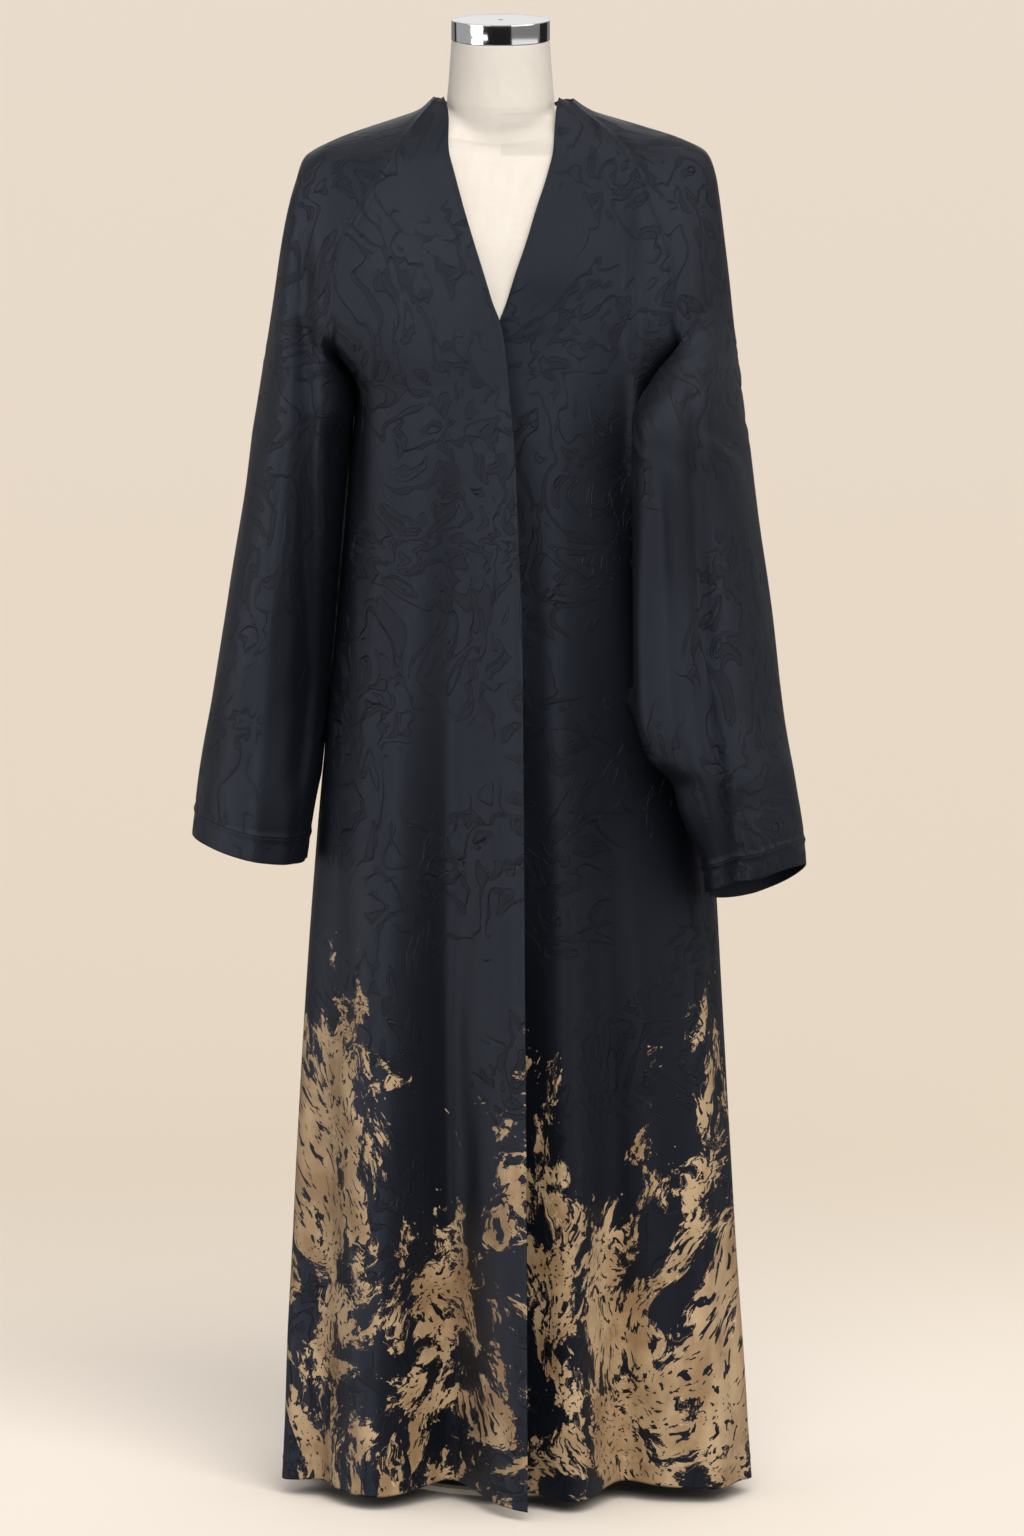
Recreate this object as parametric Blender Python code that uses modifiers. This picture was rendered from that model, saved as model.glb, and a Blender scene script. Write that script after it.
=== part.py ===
"""An open-front abaya cloak worn by a limbless dress form on a pole.

Metres, +Z up.  -Y is the front of the garment and -X its wearer's right.  The origin is on
the floor, below the middle of the neck.  Each cut piece of cloth is one sheet: a grid of
points on the garment's outer side, thickened inwards.  Above the underarm the garment is one
ring round the shoulders, shared by fronts, sleeves and back; below it the skirt is a ring of
its own with two sleeve tubes beside it.
"""

import math

import bpy
import numpy as np

# Cloth
WALL = 0.002
SEAM = 0.0003
HEM_HEIGHT = 0.018
UNDERARM = 1.17
ARMHOLE_RISE = 0.13
NECK_SEAM_HEIGHT = 1.487
NECK_RISE_START = 1.44
SHOULDER_NECK_RISE = 0.012
BACK_NECK_DROP = 0.008
CUFF_BAND = 0.027
# The skirt widens to the yoke, and the raglan seam leaves the side, by these powers of the
# way up the armhole, which leave the armhole a round bottom.
WIDENING = 1.4
SEAM_LEAVING = 2.2
# Left front under the lap: how far it is drawn in, between which angles, and up to where
LAP = {"inset": 0.0055, "start": 328.0, "full": 348.0, "top": 1.33, "fade": 0.05}
# Hem: a fold's lobe hangs lower than a valley, by this share of its depth, below this height
HEM_DROP = 0.10
HEM_DROP_REACH = 0.30
# Folds grow from their tops to the hem by this power
FOLD_GROWTH = 1.15

# Dress form
FORM_CLEARANCE = 0.0004
FORM_BOTTOM = 0.76
CAP_BOTTOM = 1.556
CAP_TOP = 1.578
CAP_RADIUS = 0.0520
CAP_RIM = 0.0015
POLE_RADIUS = 0.0125
BASE_RADIUS = 0.115
BASE_HEIGHT = 0.008
BASE_RIM = 0.003
BOSS_RADIUS = 0.022
BOSS_HEIGHT = 0.030
STAND_X = 0.005
STAND_Y = 0.082

# Skirt, one ring for each height: half widths to the wearer's right and left, depths to
# the front and the back of the ring's middle.
SKIRT = {
    "height": (0.00, 0.25, 0.50, 0.70, 0.95, 1.10, 1.19, 1.26),
    "right": (0.228, 0.219, 0.208, 0.194, 0.171, 0.158, 0.150, 0.147),
    "left": (0.266, 0.250, 0.236, 0.224, 0.196, 0.176, 0.163, 0.158),
    "front": (0.105, 0.116, 0.127, 0.134, 0.140, 0.139, 0.134, 0.126),
    "back": (0.200, 0.190, 0.176, 0.162, 0.142, 0.130, 0.125, 0.123),
    "square": (2.1, 2.1, 2.2, 2.3, 2.5, 2.9, 3.1, 3.1),
}
# Yoke, the one ring that fronts, sleeves and back share above the underarm.
YOKE = {
    "height": (1.12, 1.19, 1.28, 1.34, 1.386, 1.407, 1.4285, 1.439, 1.45, 1.46, 1.471,
               1.482, 1.492, 1.502),
    "right": (0.264, 0.254, 0.240, 0.231, 0.222, 0.216, 0.209, 0.198, 0.174, 0.144, 0.112,
              0.085, 0.068, 0.061),
    "left": (0.262, 0.255, 0.244, 0.237, 0.232, 0.229, 0.223, 0.216, 0.192, 0.160, 0.124,
             0.093, 0.073, 0.063),
    "front": (0.138, 0.134, 0.124, 0.110, 0.092, 0.083, 0.073, 0.068, 0.061, 0.055, 0.047,
              0.040, 0.033, 0.026),
    "back": (0.128, 0.125, 0.122, 0.117, 0.108, 0.102, 0.094, 0.090, 0.084, 0.079, 0.073,
             0.067, 0.062, 0.058),
    "square": (2.0,) * 14,
}
# Free edges of the two fronts: the V neck, and below it the lap.
FRONT_EDGES = {
    "height": (0.00, 0.50, 0.94, 1.06, 1.13, 1.19, 1.25, 1.274, 1.292, 1.324, 1.355, 1.387,
               1.419, 1.451, 1.472, 1.487),
    "right": (0.026, 0.0245, 0.0225, 0.018, 0.0154, 0.010, 0.004, -0.001, -0.008, -0.018,
              -0.028, -0.038, -0.047, -0.056, -0.0605, -0.066),
    "left": (-0.026, -0.028, -0.030, -0.030, -0.030, -0.026, -0.012, -0.001, 0.006, 0.016,
             0.027, 0.037, 0.048, 0.057, 0.063, 0.067),
}
# Raglan seams, distance of each from the middle.
RAGLAN = {
    "height": (1.17, 1.25, 1.29, 1.34, 1.39, 1.425, 1.45, 1.471, 1.487),
    "right": (0.150, 0.170, 0.177, 0.171, 0.147, 0.127, 0.108, 0.090, 0.073),
    "left": (0.172, 0.181, 0.181, 0.177, 0.160, 0.145, 0.127, 0.102, 0.078),
}
# Skirt folds.  Angles in degrees round the ring, from 0 at the middle of the right front's
# lap, over 90 at the wearer's right, 180 at the back and 270 at the wearer's left, to 360
# under the lap.  Depth is at the hem, outwards where positive; each dies out at its top.
FOLDS = (
    # name               at_hem at_top width depth   top
    ("front edge",        -8.0,  -6.0, 13.0,  0.078, 1.27),
    ("edge valley",       14.5,  18.0,  9.0, -0.052, 1.22),
    ("front ridge",       34.0,  38.0, 13.0,  0.032, 1.20),
    ("pocket hollow",     60.0,  60.0, 10.0, -0.014, 0.90),
    ("right side",        78.0,  78.0,  9.0,  0.010, 0.85),
    ("right back hollow", 103.0, 103.0, 9.0, -0.018, 0.95),
    ("right back",       122.0, 122.0, 10.0,  0.022, 1.05),
    ("back hollow one",  143.0, 143.0,  9.0, -0.024, 1.10),
    ("back ridge one",   161.0, 161.0,  9.0,  0.024, 1.15),
    ("back hollow two",  181.0, 180.0, 10.0, -0.026, 1.05),
    ("back ridge two",   201.0, 201.0,  9.0,  0.026, 1.15),
    ("back hollow three", 221.0, 221.0, 9.0, -0.022, 1.08),
    ("left back",        241.0, 241.0, 10.0,  0.020, 1.00),
    ("left back hollow", 260.0, 260.0,  9.0, -0.012, 0.90),
    ("left side",        281.0, 281.0,  9.0,  0.006, 0.85),
    ("left ridge",       304.0, 304.0, 10.0,  0.019, 1.00),
    ("left valley",      329.0, 331.0,  7.5, -0.036, 1.02),
    ("lap ridge",        344.0, 342.0,  7.5,  0.042, 1.20),
    ("under the lap",    366.0, 366.0, 10.0, -0.012, 1.10),
)
# Sleeves below the underarm: distances of the inner and outer edge from the middle, front
# and back of the tube, how far its inner edge leads to the front and its outer edge to the
# back, and how far its inner half alone is tucked back behind the body's side, or drawn
# forward over the front where negative.
SLEEVE_RIGHT = {
    "height": (0.698, 0.75, 0.81, 0.88, 0.96, 1.05, 1.13, 1.17, 1.30),
    "inner": (0.2065, 0.1985, 0.184, 0.171, 0.159, 0.151, 0.150, 0.1525, 0.146),
    "outer": (0.327, 0.321, 0.3125, 0.302, 0.290, 0.275, 0.263, 0.257, 0.238),
    "front": (-0.088, -0.091, -0.096, -0.101, -0.103, -0.104, -0.100, -0.092, -0.086),
    "back": (0.068, 0.069, 0.066, 0.062, 0.062, 0.062, 0.070, 0.082, 0.082),
    "lean": (0.010, 0.010, 0.008, 0.006, 0.006, 0.006, 0.006, 0.008, 0.0),
    "tuck": (0.0, 0.010, 0.045, 0.078, 0.088, 0.084, 0.060, 0.024, 0.0),
}
SLEEVE_LEFT = {
    "height": (0.675, 0.70, 0.76, 0.79, 0.815, 0.87, 0.95, 1.05, 1.12, 1.17, 1.23, 1.30),
    "inner": (0.216, 0.2136, 0.188, 0.180, 0.155, 0.140, 0.139, 0.139, 0.138, 0.138, 0.142,
              0.176),
    "outer": (0.323, 0.321, 0.313, 0.309, 0.305, 0.297, 0.287, 0.273, 0.264, 0.257, 0.250,
              0.242),
    "front": (-0.165, -0.168, -0.176, -0.180, -0.182, -0.178, -0.165, -0.150, -0.140, -0.132,
              -0.122, -0.100),
    "back": (-0.035, -0.035, -0.035, -0.034, -0.032, -0.028, -0.010, 0.024, 0.052, 0.070,
             0.080, 0.082),
    "lean": (0.020, 0.022, 0.028, 0.032, 0.036, 0.044, 0.046, 0.040, 0.030, 0.024, 0.016,
             0.0),
    "tuck": (0.0, 0.0, 0.0, 0.0, 0.0, 0.0, -0.006, -0.030, -0.056, -0.068, -0.064, -0.02),
}
# Underarm seams, in degrees round the tube from its inner edge towards the front
UNDERARM_SEAM = {"right": 0.0, "left": -25.0}
# Least distance that a sleeve keeps to the body beside it, outer side to outer side
SLEEVE_CLEARANCE = {"right": 0.005, "left": 0.011}
# Creases down the front of the sleeves: distance from the middle at three heights, width,
# depth, inwards where positive, and the height where each starts.
SLEEVE_CREASES = {
    "right": (
        # name             top    elbow  cuff   width  depth   start
        ("shoulder crease", 0.207, 0.203, 0.216, 0.010, 0.013, 1.41),
        ("inner ridge",     0.188, 0.184, 0.216, 0.014, -0.006, 1.28),
        ("outer ridge",     0.232, 0.240, 0.262, 0.018, -0.005, 1.38),
    ),
    "left": (
        ("seam crease",     0.193, 0.216, 0.246, 0.009, 0.012, 1.27),
        ("inner ridge",     0.160, 0.180, 0.226, 0.014, -0.006, 1.17),
        ("outer ridge",     0.222, 0.248, 0.278, 0.018, -0.006, 1.38),
    ),
}
CREASE_HEIGHTS = (0.70, 0.88, 1.36)
CREASE_FADE = 0.12

SEAM_CALM = 0.12
# Drape where the left arm draws front and sleeve forward: a step beside the armhole that
# dies away outwards, given by its distances from the middle and its heights.  On the left
# front it starts and ends at ring angles.
DRAPE = {"start": 0.139, "step": 0.006, "fade": 0.192, "end": 0.252, "depth": 0.018,
         "top": 1.41, "full": 1.20, "low": 1.17, "bottom": 1.09}
DRAPE_ANGLES = {"start": 270.0, "full": 295.0, "end": 345.0}

# Cuffs, heights above or below the level ring at the outer, inner, front and back points.
CUFF_RISE = {
    "right": {"outer": 0.012, "inner": -0.012, "front": -0.004, "back": 0.004},
    "left": {"outer": 0.014, "inner": -0.010, "front": 0.012, "back": -0.024},
}
CUFF_RISE_REACH = 0.20
# How far the sleeves' edges are drawn to their seams, below the underarm and round the tube
PULL_REACH = 0.06
PULL_WIDTH = {"right": 0.25, "left": 0.12}
# How far round the tube, as a share, and how far below the underarm a sleeve takes to
# stand clear of the body beside its armhole seam
CLEAR_WIDTH = 0.03
CLEAR_REACH = 0.02

# Dress form: the shoulders' distance inside the yoke and where they end at the neck, then
# its half widths, its distance inside the cloth, and the neck's radius
SHOULDER_INSET = {"right": 0.0080, "left": 0.0088}
SHOULDER_END = 1.475
SHOULDER_END_FADE = 0.025
LEAST_RADIUS = 0.02
FORM = {
    "height": (0.76, 0.86, 0.96, 1.06, 1.14, 1.20, 1.26, 1.32, 1.38, 1.41, 1.44),
    "right": (0.150, 0.152, 0.132, 0.118, 0.128, 0.138, 0.146, 0.156, 0.170, 0.180, 0.188),
    "left": (0.150, 0.152, 0.132, 0.118, 0.128, 0.138, 0.146, 0.156, 0.170, 0.180, 0.190),
}
FORM_INSET = {
    "height": (0.76, 0.96, 1.06, 1.19, 1.26, 1.35, 1.42, 1.44, 1.46, 1.48),
    "front": (0.036, 0.050, 0.046, 0.012, 0.008, 0.006, 0.005, 0.005, 0.007, 0.014),
    "back": (0.036, 0.040, 0.030, 0.014, 0.010, 0.008, 0.006, 0.004, 0.004, 0.006),
}
NECK = {
    "height": (1.43, 1.445, 1.46, 1.475, 1.49, 1.51, 1.53, 1.556),
    "radius": (0.005, 0.035, 0.0520, 0.0570, 0.0562, 0.0545, 0.0530, 0.0512),
}

COLUMNS = {"front_right": 18, "front_left": 20, "back": 26, "sleeve": 24, "form": 24}
FRONT_SPACING = 1.25
SLEEVE_ROWS = 9
UNDERARM_HEIGHTS = (1.10, 1.14, UNDERARM)
SKIRT_HEIGHTS = (0.018, 0.12, 0.25, 0.40, 0.55, 0.70, 0.83, 0.95, 1.04) + UNDERARM_HEIGHTS
ARMHOLE_HEIGHTS = (1.20, 1.235, 1.27, 1.30, 1.34, 1.38, 1.407, 1.4285, 1.439, 1.455, 1.471,
                   1.487)
FORM_HEIGHTS = (0.76, 0.82, 0.89, 0.97, 1.05, 1.12, 1.20, 1.28, 1.35, 1.40, 1.4285, 1.439,
                1.455, 1.471, 1.484, 1.50, 1.53, 1.5557)
BODY_HEIGHTS = SKIRT_HEIGHTS + ARMHOLE_HEIGHTS

RING_COLUMNS = ("right", "left", "front", "back", "square")

NAVY = (0.0165, 0.0185, 0.0265, 1.0)
LINEN = (0.80, 0.74, 0.65, 1.0)
CHROME = (0.72, 0.72, 0.72, 1.0)
PAINTED_STEEL = (0.74, 0.68, 0.60, 1.0)


def smooth(table, column, height):
    """Cubic curve through a table's column, with slopes that never overshoot its rows."""
    at = np.asarray(table["height"], float)
    value = np.asarray(table[column], float)
    step = np.diff(at)
    rise = np.diff(value) / step
    slope = np.zeros_like(value)
    same = rise[:-1] * rise[1:] > 0
    slope[1:-1][same] = 2 * rise[:-1][same] * rise[1:][same] / (rise[:-1] + rise[1:])[same]
    slope[0], slope[-1] = rise[0], rise[-1]
    height = np.clip(np.asarray(height, float), at[0], at[-1])
    k = np.clip(np.searchsorted(at, height) - 1, 0, len(step) - 1)
    t = (height - at[k]) / step[k]
    return (value[k] * (1 + 2 * t) * (1 - t) ** 2 + value[k + 1] * t * t * (3 - 2 * t)
            + step[k] * (slope[k] * t * (1 - t) ** 2 - slope[k + 1] * t * t * (1 - t)))


def ease(t):
    """0 to 1 with level ends."""
    t = np.clip(t, 0.0, 1.0)
    return t * t * (3 - 2 * t)


def joined(height):
    """How far the sleeve has joined the yoke: 0 below the underarm, 1 above the armhole."""
    return ease((height - UNDERARM) / ARMHOLE_RISE)


def widened(height):
    """How far the body's ring has widened to the yoke's: later than the sleeve joins."""
    return joined(height) ** WIDENING


def ring_size(height, column):
    """Body size at a height: the skirt's, turning into the yoke's up the armhole."""
    share = widened(height)
    return (1 - share) * smooth(SKIRT, column, height) + share * smooth(YOKE, column, height)


def on_ring(angle, right, left, front, back, square=2.0):
    """Point of an egg-shaped ring: four quarter ellipses that meet level, their corners
    filled out where square is over 2."""
    across, along = np.sin(np.radians(angle)), np.cos(np.radians(angle))
    fill = (np.abs(across) ** square + np.abs(along) ** square) ** (-1 / square)
    x = -np.where(across > 0, right, left) * across * fill
    y = -np.where(along > 0, front, back) * along * fill
    return x, y


def fold_depth(angle, height):
    """Sum of the folds: each a bell across, growing evenly from its top to the hem."""
    depth = np.zeros(np.broadcast(angle, height).shape)
    for _name, at_hem, at_top, width, at_depth, top in FOLDS:
        rise = np.clip(height / top, 0.0, 1.0)
        middle = at_hem + (at_top - at_hem) * rise
        across = np.exp(-(((angle - middle) / width) ** 2))
        depth += at_depth * (1 - rise) ** FOLD_GROWTH * across
    return depth


def drape_depth(x, height):
    """How far the drape beside the left armhole stands forward: a soft step across, fading
    outwards, that grows down to the underarm and dies away below it."""
    across = 1 / (1 + np.exp(-(x - DRAPE["start"]) / DRAPE["step"]))
    across = across * ease((DRAPE["end"] - x) / (DRAPE["end"] - DRAPE["fade"]))
    above = ease((DRAPE["top"] - height) / (DRAPE["top"] - DRAPE["full"]))
    below = ease((height - DRAPE["bottom"]) / (DRAPE["low"] - DRAPE["bottom"]))
    return DRAPE["depth"] * across * above * below


def body(angle, height):
    """Outer side of fronts and back: the ring, its folds pushed out square to it, the left
    front drawn in under the lap."""
    sizes = [ring_size(height, column) for column in RING_COLUMNS]
    x, y = on_ring(angle, *sizes)
    ahead = on_ring(angle + 0.5, *sizes)
    behind = on_ring(angle - 0.5, *sizes)
    run_x, run_y = ahead[0] - behind[0], ahead[1] - behind[1]
    length = np.hypot(run_x, run_y)
    lap = (ease((angle - LAP["start"]) / (LAP["full"] - LAP["start"]))
           * ease((LAP["top"] - height) / LAP["fade"]))
    out = fold_depth(angle, height) - LAP["inset"] * lap
    x = x - out * run_y / length
    y = y + out * run_x / length
    onset = (angle - DRAPE_ANGLES["start"]) / (DRAPE_ANGLES["full"] - DRAPE_ANGLES["start"])
    y = y - drape_depth(x, height) * ease(onset) * (angle < DRAPE_ANGLES["end"])
    drop = -HEM_DROP * fold_depth(angle, np.zeros_like(height))
    z = height + drop * ease(1 - (height - HEM_HEIGHT) / HEM_DROP_REACH)
    return np.stack(np.broadcast_arrays(x, y, z), axis=-1)


def arc_of(distance, width, square=2.0):
    """Angle from the middle, in degrees, where a ring is a distance from the middle."""
    share = np.clip(np.abs(distance) / width, 0.0, 0.9999) ** square
    return np.sign(distance) * np.degrees(np.arctan((share / (1 - share)) ** (1 / square)))


def side_angle(side, away, back=False):
    """Ring angle on a side, away degrees from the middle of the front or the back."""
    if side == "right":
        return 180.0 - away if back else away
    return 180.0 + away if back else 360.0 - away


def raglan_angle(side, height, back=False, yoke=False):
    """Ring angle of a raglan seam, on the body's ring or on the yoke's own."""
    distance = smooth(RAGLAN, side, height)
    if yoke:
        return side_angle(side, arc_of(distance, smooth(YOKE, side, height)), back)
    square = ring_size(height, "square")
    return side_angle(side, arc_of(distance, ring_size(height, side), square), back)


def armhole_angle(side, height, back=False):
    """Ring angle of the outer edge of a front or the back: side seam, then raglan seam,
    which leaves the side early so that the armhole has a round bottom."""
    seam = side_angle(side, 90.0)
    share = 1 - (1 - joined(height)) ** SEAM_LEAVING
    return seam + (raglan_angle(side, height, back) - seam) * share


def lap_angle(side, height):
    """Ring angle of the free edge of a front."""
    x = smooth(FRONT_EDGES, side, height)
    width = np.where(x < 0, ring_size(height, "right"), ring_size(height, "left"))
    away = -arc_of(x, width, ring_size(height, "square"))
    return away + 360.0 if side == "left" else away


def sleeve_table(side):
    return SLEEVE_RIGHT if side == "right" else SLEEVE_LEFT


def around_tube(side, turn):
    """Angle round a sleeve's tube, in radians from its inner edge towards its front."""
    return np.radians(360.0 * turn + UNDERARM_SEAM[side])


def sleeve_tube(side, turn, height):
    """Sleeve below the underarm: an ellipse at each height, leaning, its inner half tucked
    backwards or forwards by the square of how near it is to the inner edge."""
    inner, outer, front, back, lean, tuck = (
        smooth(sleeve_table(side), column, height)
        for column in ("inner", "outer", "front", "back", "lean", "tuck"))
    around = around_tube(side, turn)
    distance = (inner + outer) / 2 - (outer - inner) / 2 * np.cos(around)
    y = (front + back) / 2 - (back - front) / 2 * np.sin(around) - lean * np.cos(around)
    y = y + tuck * ((1 + np.cos(around)) / 2) ** 2
    x = -distance if side == "right" else distance
    return clear_of_body(side, x, y, height, SLEEVE_CLEARANCE[side])


def clear_of_body(side, x, y, height, clearance):
    """The tube's points, moved straight out from the middle wherever the body, its folds
    and the clearance would reach past them."""
    width = ring_size(height, side)
    depth = np.where(y < 0, ring_size(height, "front"), ring_size(height, "back"))
    square = ring_size(height, "square")
    away = np.degrees(np.arctan2(np.abs(x) / width, np.abs(y) / depth))
    angle = np.where(y < 0, side_angle(side, away), side_angle(side, away, True))
    margin = clearance + np.maximum(fold_depth(angle, height), 0.0)
    margin = margin + drape_depth(x, height) * (y < 0)
    share = ((np.abs(x) / (width + margin)) ** square
             + (np.abs(y) / (depth + margin)) ** square) ** (1 / square)
    scale = np.maximum(1.0, 1.0 / share)
    return x * scale, y * scale


def sleeve_yoke(side, turn, height):
    """Sleeve above the underarm: the yoke's ring from the front raglan seam to the back,
    rising to the neck's side."""
    start = raglan_angle(side, height, yoke=True)
    stop = raglan_angle(side, height, back=True, yoke=True)
    neck = ease((height - NECK_RISE_START) / (NECK_SEAM_HEIGHT - NECK_RISE_START))
    level = height + SHOULDER_NECK_RISE * neck * np.sin(np.pi * turn) ** 2
    sizes = [smooth(YOKE, column, level) for column in RING_COLUMNS]
    return *on_ring(start + (stop - start) * turn, *sizes), level


def crease_depth(side, distance, height):
    """Depth of the creases down the front of a sleeve, inwards where positive."""
    depth = np.zeros(np.broadcast(distance, height).shape)
    for _name, top, elbow, cuff, width, at_depth, start in SLEEVE_CREASES[side]:
        middle = np.interp(height, CREASE_HEIGHTS, (cuff, elbow, top))
        across = np.exp(-(((distance - middle) / width) ** 2))
        depth += at_depth * across * ease((start - height) / CREASE_FADE)
    return depth


def cuff_level(side, around):
    """How far the cuff's edge stands above or below level, round the tube."""
    rise = CUFF_RISE[side]
    across, along = -np.cos(around), np.sin(around)
    return (np.where(across > 0, rise["outer"] * across, -rise["inner"] * across)
            + np.where(along > 0, rise["front"] * along, -rise["back"] * along))


def loose_sleeve(side, turn, height):
    """Tube and yoke joined up the armhole, with creases, cuff slant and neck rise."""
    share = joined(height)
    around = around_tube(side, turn)
    tube_x, tube_y = sleeve_tube(side, turn, height)
    yoke_x, yoke_y, level = sleeve_yoke(side, turn, height)
    x = (1 - share) * tube_x + share * yoke_x
    y = (1 - share) * tube_y + share * yoke_y
    frontal = np.clip((1 - share) * np.sin(around) + share * np.cos(np.pi * turn), 0.0, 1.0)
    crease = crease_depth(side, np.abs(x), height) * ease(turn / SEAM_CALM)
    y = y + (crease - drape_depth(x, height)) * frontal
    slant = ease(1 - (height - sleeve_table(side)["height"][0]) / CUFF_RISE_REACH)
    z = level + cuff_level(side, around) * slant
    return np.stack(np.broadcast_arrays(x, y, z), axis=-1)


def sleeve(side, turn, height):
    """Outer side of a raglan sleeve, from one edge of its seams over the front, outside and
    back to the other.  Both edges are drawn to the seam that the body gives them, and below
    the underarm that pull dies away."""
    points = loose_sleeve(side, turn, height)
    level = np.maximum(height, UNDERARM)
    hold = ease(1 - (UNDERARM - height) / PULL_REACH)
    for edge, back in ((0.0, False), (1.0, True)):
        seam = body(armhole_angle(side, level, back), level)
        miss = seam - loose_sleeve(side, np.full_like(level, edge), level)
        near = np.clip(1 - np.abs(turn - edge) / PULL_WIDTH[side], 0.0, 1.0) ** 2
        points = points + miss * (near * hold)[..., None]
    below = ease((UNDERARM - height) / CLEAR_REACH)
    aside = ease(np.minimum(turn, 1 - turn) / CLEAR_WIDTH)
    share = np.maximum(below, aside * (1 - joined(height)))
    clearance = 2 * SEAM + SLEEVE_CLEARANCE[side] * share
    x, y = clear_of_body(side, points[..., 0], points[..., 1], height, clearance)
    moved = np.maximum(1 - joined(height), aside) * (height < UNDERARM + ARMHOLE_RISE)
    points[..., 0] += (x - points[..., 0]) * moved
    points[..., 1] += (y - points[..., 1]) * moved
    return points


def grid(across, up):
    """Every pair of the two lists, as two arrays with a row for each height."""
    return np.meshgrid(np.asarray(across, float), np.asarray(up, float))


def part_seams(points, sides):
    """Draw the named edges of a sheet back from their seams by half a seam's width."""
    points = points.copy()
    for side in sides:
        edge, inner = {
            "first": ((slice(None), 0), (slice(None), 1)),
            "last": ((slice(None), -1), (slice(None), -2)),
            "bottom": ((0, slice(None)), (1, slice(None))),
            "top": ((-1, slice(None)), (-2, slice(None))),
        }[side]
        inwards = points[inner] - points[edge]
        length = np.linalg.norm(inwards, axis=-1, keepdims=True)
        points[edge] = points[edge] + inwards / length * (SEAM / 2)
    return points


def front_points(side):
    """A front, from its free edge to its side seam and raglan seam."""
    across, up = grid(front_columns(side), BODY_HEIGHTS)
    free, outer = lap_angle(side, up), armhole_angle(side, up)
    return part_seams(body(free + (outer - free) * across, up), ("last",))


def front_columns(side):
    """Shares of the way across a front, closer together at its folds."""
    count = COLUMNS["front_" + side]
    share = np.linspace(0.0, 1.0, count + 1)
    return share ** FRONT_SPACING


def back_points():
    """The back, from the wearer's right to the left, its neck edge curved down."""
    across, up = grid(np.linspace(0.0, 1.0, COLUMNS["back"] + 1), BODY_HEIGHTS)
    start, stop = armhole_angle("right", up, True), armhole_angle("left", up, True)
    neck = ease((up - NECK_RISE_START) / (NECK_SEAM_HEIGHT - NECK_RISE_START))
    lowered = up - BACK_NECK_DROP * neck * np.sin(np.pi * across) ** 2
    return part_seams(body(start + (stop - start) * across, lowered), ("first", "last"))


def sleeve_points(side):
    """A sleeve above its cuff band, and the band, as two grids."""
    cuff = sleeve_table(side)["height"][0]
    top_of_band = cuff + CUFF_BAND
    lower = np.linspace(top_of_band, UNDERARM_HEIGHTS[0], SLEEVE_ROWS)
    heights = np.concatenate([lower, UNDERARM_HEIGHTS[1:], ARMHOLE_HEIGHTS])
    turns = np.linspace(0.0, 1.0, COLUMNS["sleeve"] + 1)
    main = part_seams(sleeve(side, *grid(turns, heights)), ("first", "last", "bottom"))
    band = part_seams(sleeve(side, *grid(turns, (cuff, top_of_band))),
                      ("first", "last", "top"))
    return main, band


def rounded_join(first, second, sharpness=14):
    """The larger of two radii, blended where they are alike."""
    return (first ** sharpness + second ** sharpness) ** (1 / sharpness)


def form_points():
    """Torso and neck of the form: an egg-shaped ring inside the garment's, and the neck's
    circle where that is larger."""
    angles = np.linspace(0.0, 360.0, COLUMNS["form"], endpoint=False)
    angle, up = grid(angles, FORM_HEIGHTS)
    sizes = []
    ending = 1 - ease((up - SHOULDER_END) / SHOULDER_END_FADE)
    for column in ("right", "left"):
        yoke = (smooth(YOKE, column, up) - SHOULDER_INSET[column]) * ending
        sizes.append(np.minimum(yoke, smooth(FORM, column, up)))
    for column in ("front", "back"):
        sizes.append(ring_size(up, column) - smooth(FORM_INSET, column, up) - WALL
                     - FORM_CLEARANCE)
    x, y = on_ring(angle, *[np.maximum(size, LEAST_RADIUS) for size in sizes])
    radius = np.hypot(x, y)
    neck = smooth(NECK, "radius", up)
    scale = rounded_join(radius, neck) / radius
    return np.stack((x * scale, y * scale, up), axis=-1)


def quads(rows, columns, closed=False):
    """Faces of a grid, turned so that they face outwards."""
    row, column = np.meshgrid(np.arange(rows - 1), np.arange(columns - (not closed)),
                              indexing="ij")
    after = (column + 1) % columns
    corners = (row * columns + column, (row + 1) * columns + column,
               (row + 1) * columns + after, row * columns + after)
    return np.stack([corner.ravel() for corner in corners], axis=1)


def material(name, colour, roughness, metallic=0.0):
    made = bpy.data.materials.new(name)
    made.use_nodes = True
    shader = made.node_tree.nodes["Principled BSDF"]
    shader.inputs["Base Color"].default_value = colour
    shader.inputs["Roughness"].default_value = roughness
    shader.inputs["Metallic"].default_value = metallic
    made.diffuse_color = colour
    return made


def add_mesh(name, points, faces, finish, collection):
    mesh = bpy.data.meshes.new(name)
    mesh.from_pydata(points.reshape(-1, 3).tolist(), [], [list(face) for face in faces])
    mesh.shade_smooth()
    mesh.materials.append(finish)
    made = bpy.data.objects.new(name, mesh)
    collection.objects.link(made)
    return made


def add_sheet(name, points, collection, outwards=True):
    """One cut piece: the grid is its outer side, and the wall lies behind it."""
    faces = quads(*points.shape[:2])
    if not outwards:
        faces = faces[:, ::-1]
    made = add_mesh(name, points, faces.tolist(), material(name, NAVY, 0.5), collection)
    wall = made.modifiers.new("Wall", "SOLIDIFY")
    wall.thickness = WALL
    wall.offset = -1.0
    return made


def add_form(collection):
    points = form_points()
    rows, columns = points.shape[:2]
    faces = [list(face) for face in quads(rows, columns, closed=True)]
    faces.append(list(range(columns)))
    faces.append([(rows - 1) * columns + column for column in reversed(range(columns))])
    return add_mesh("form_torso", points, faces, material("form_torso", LINEN, 0.85),
                    collection)


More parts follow.
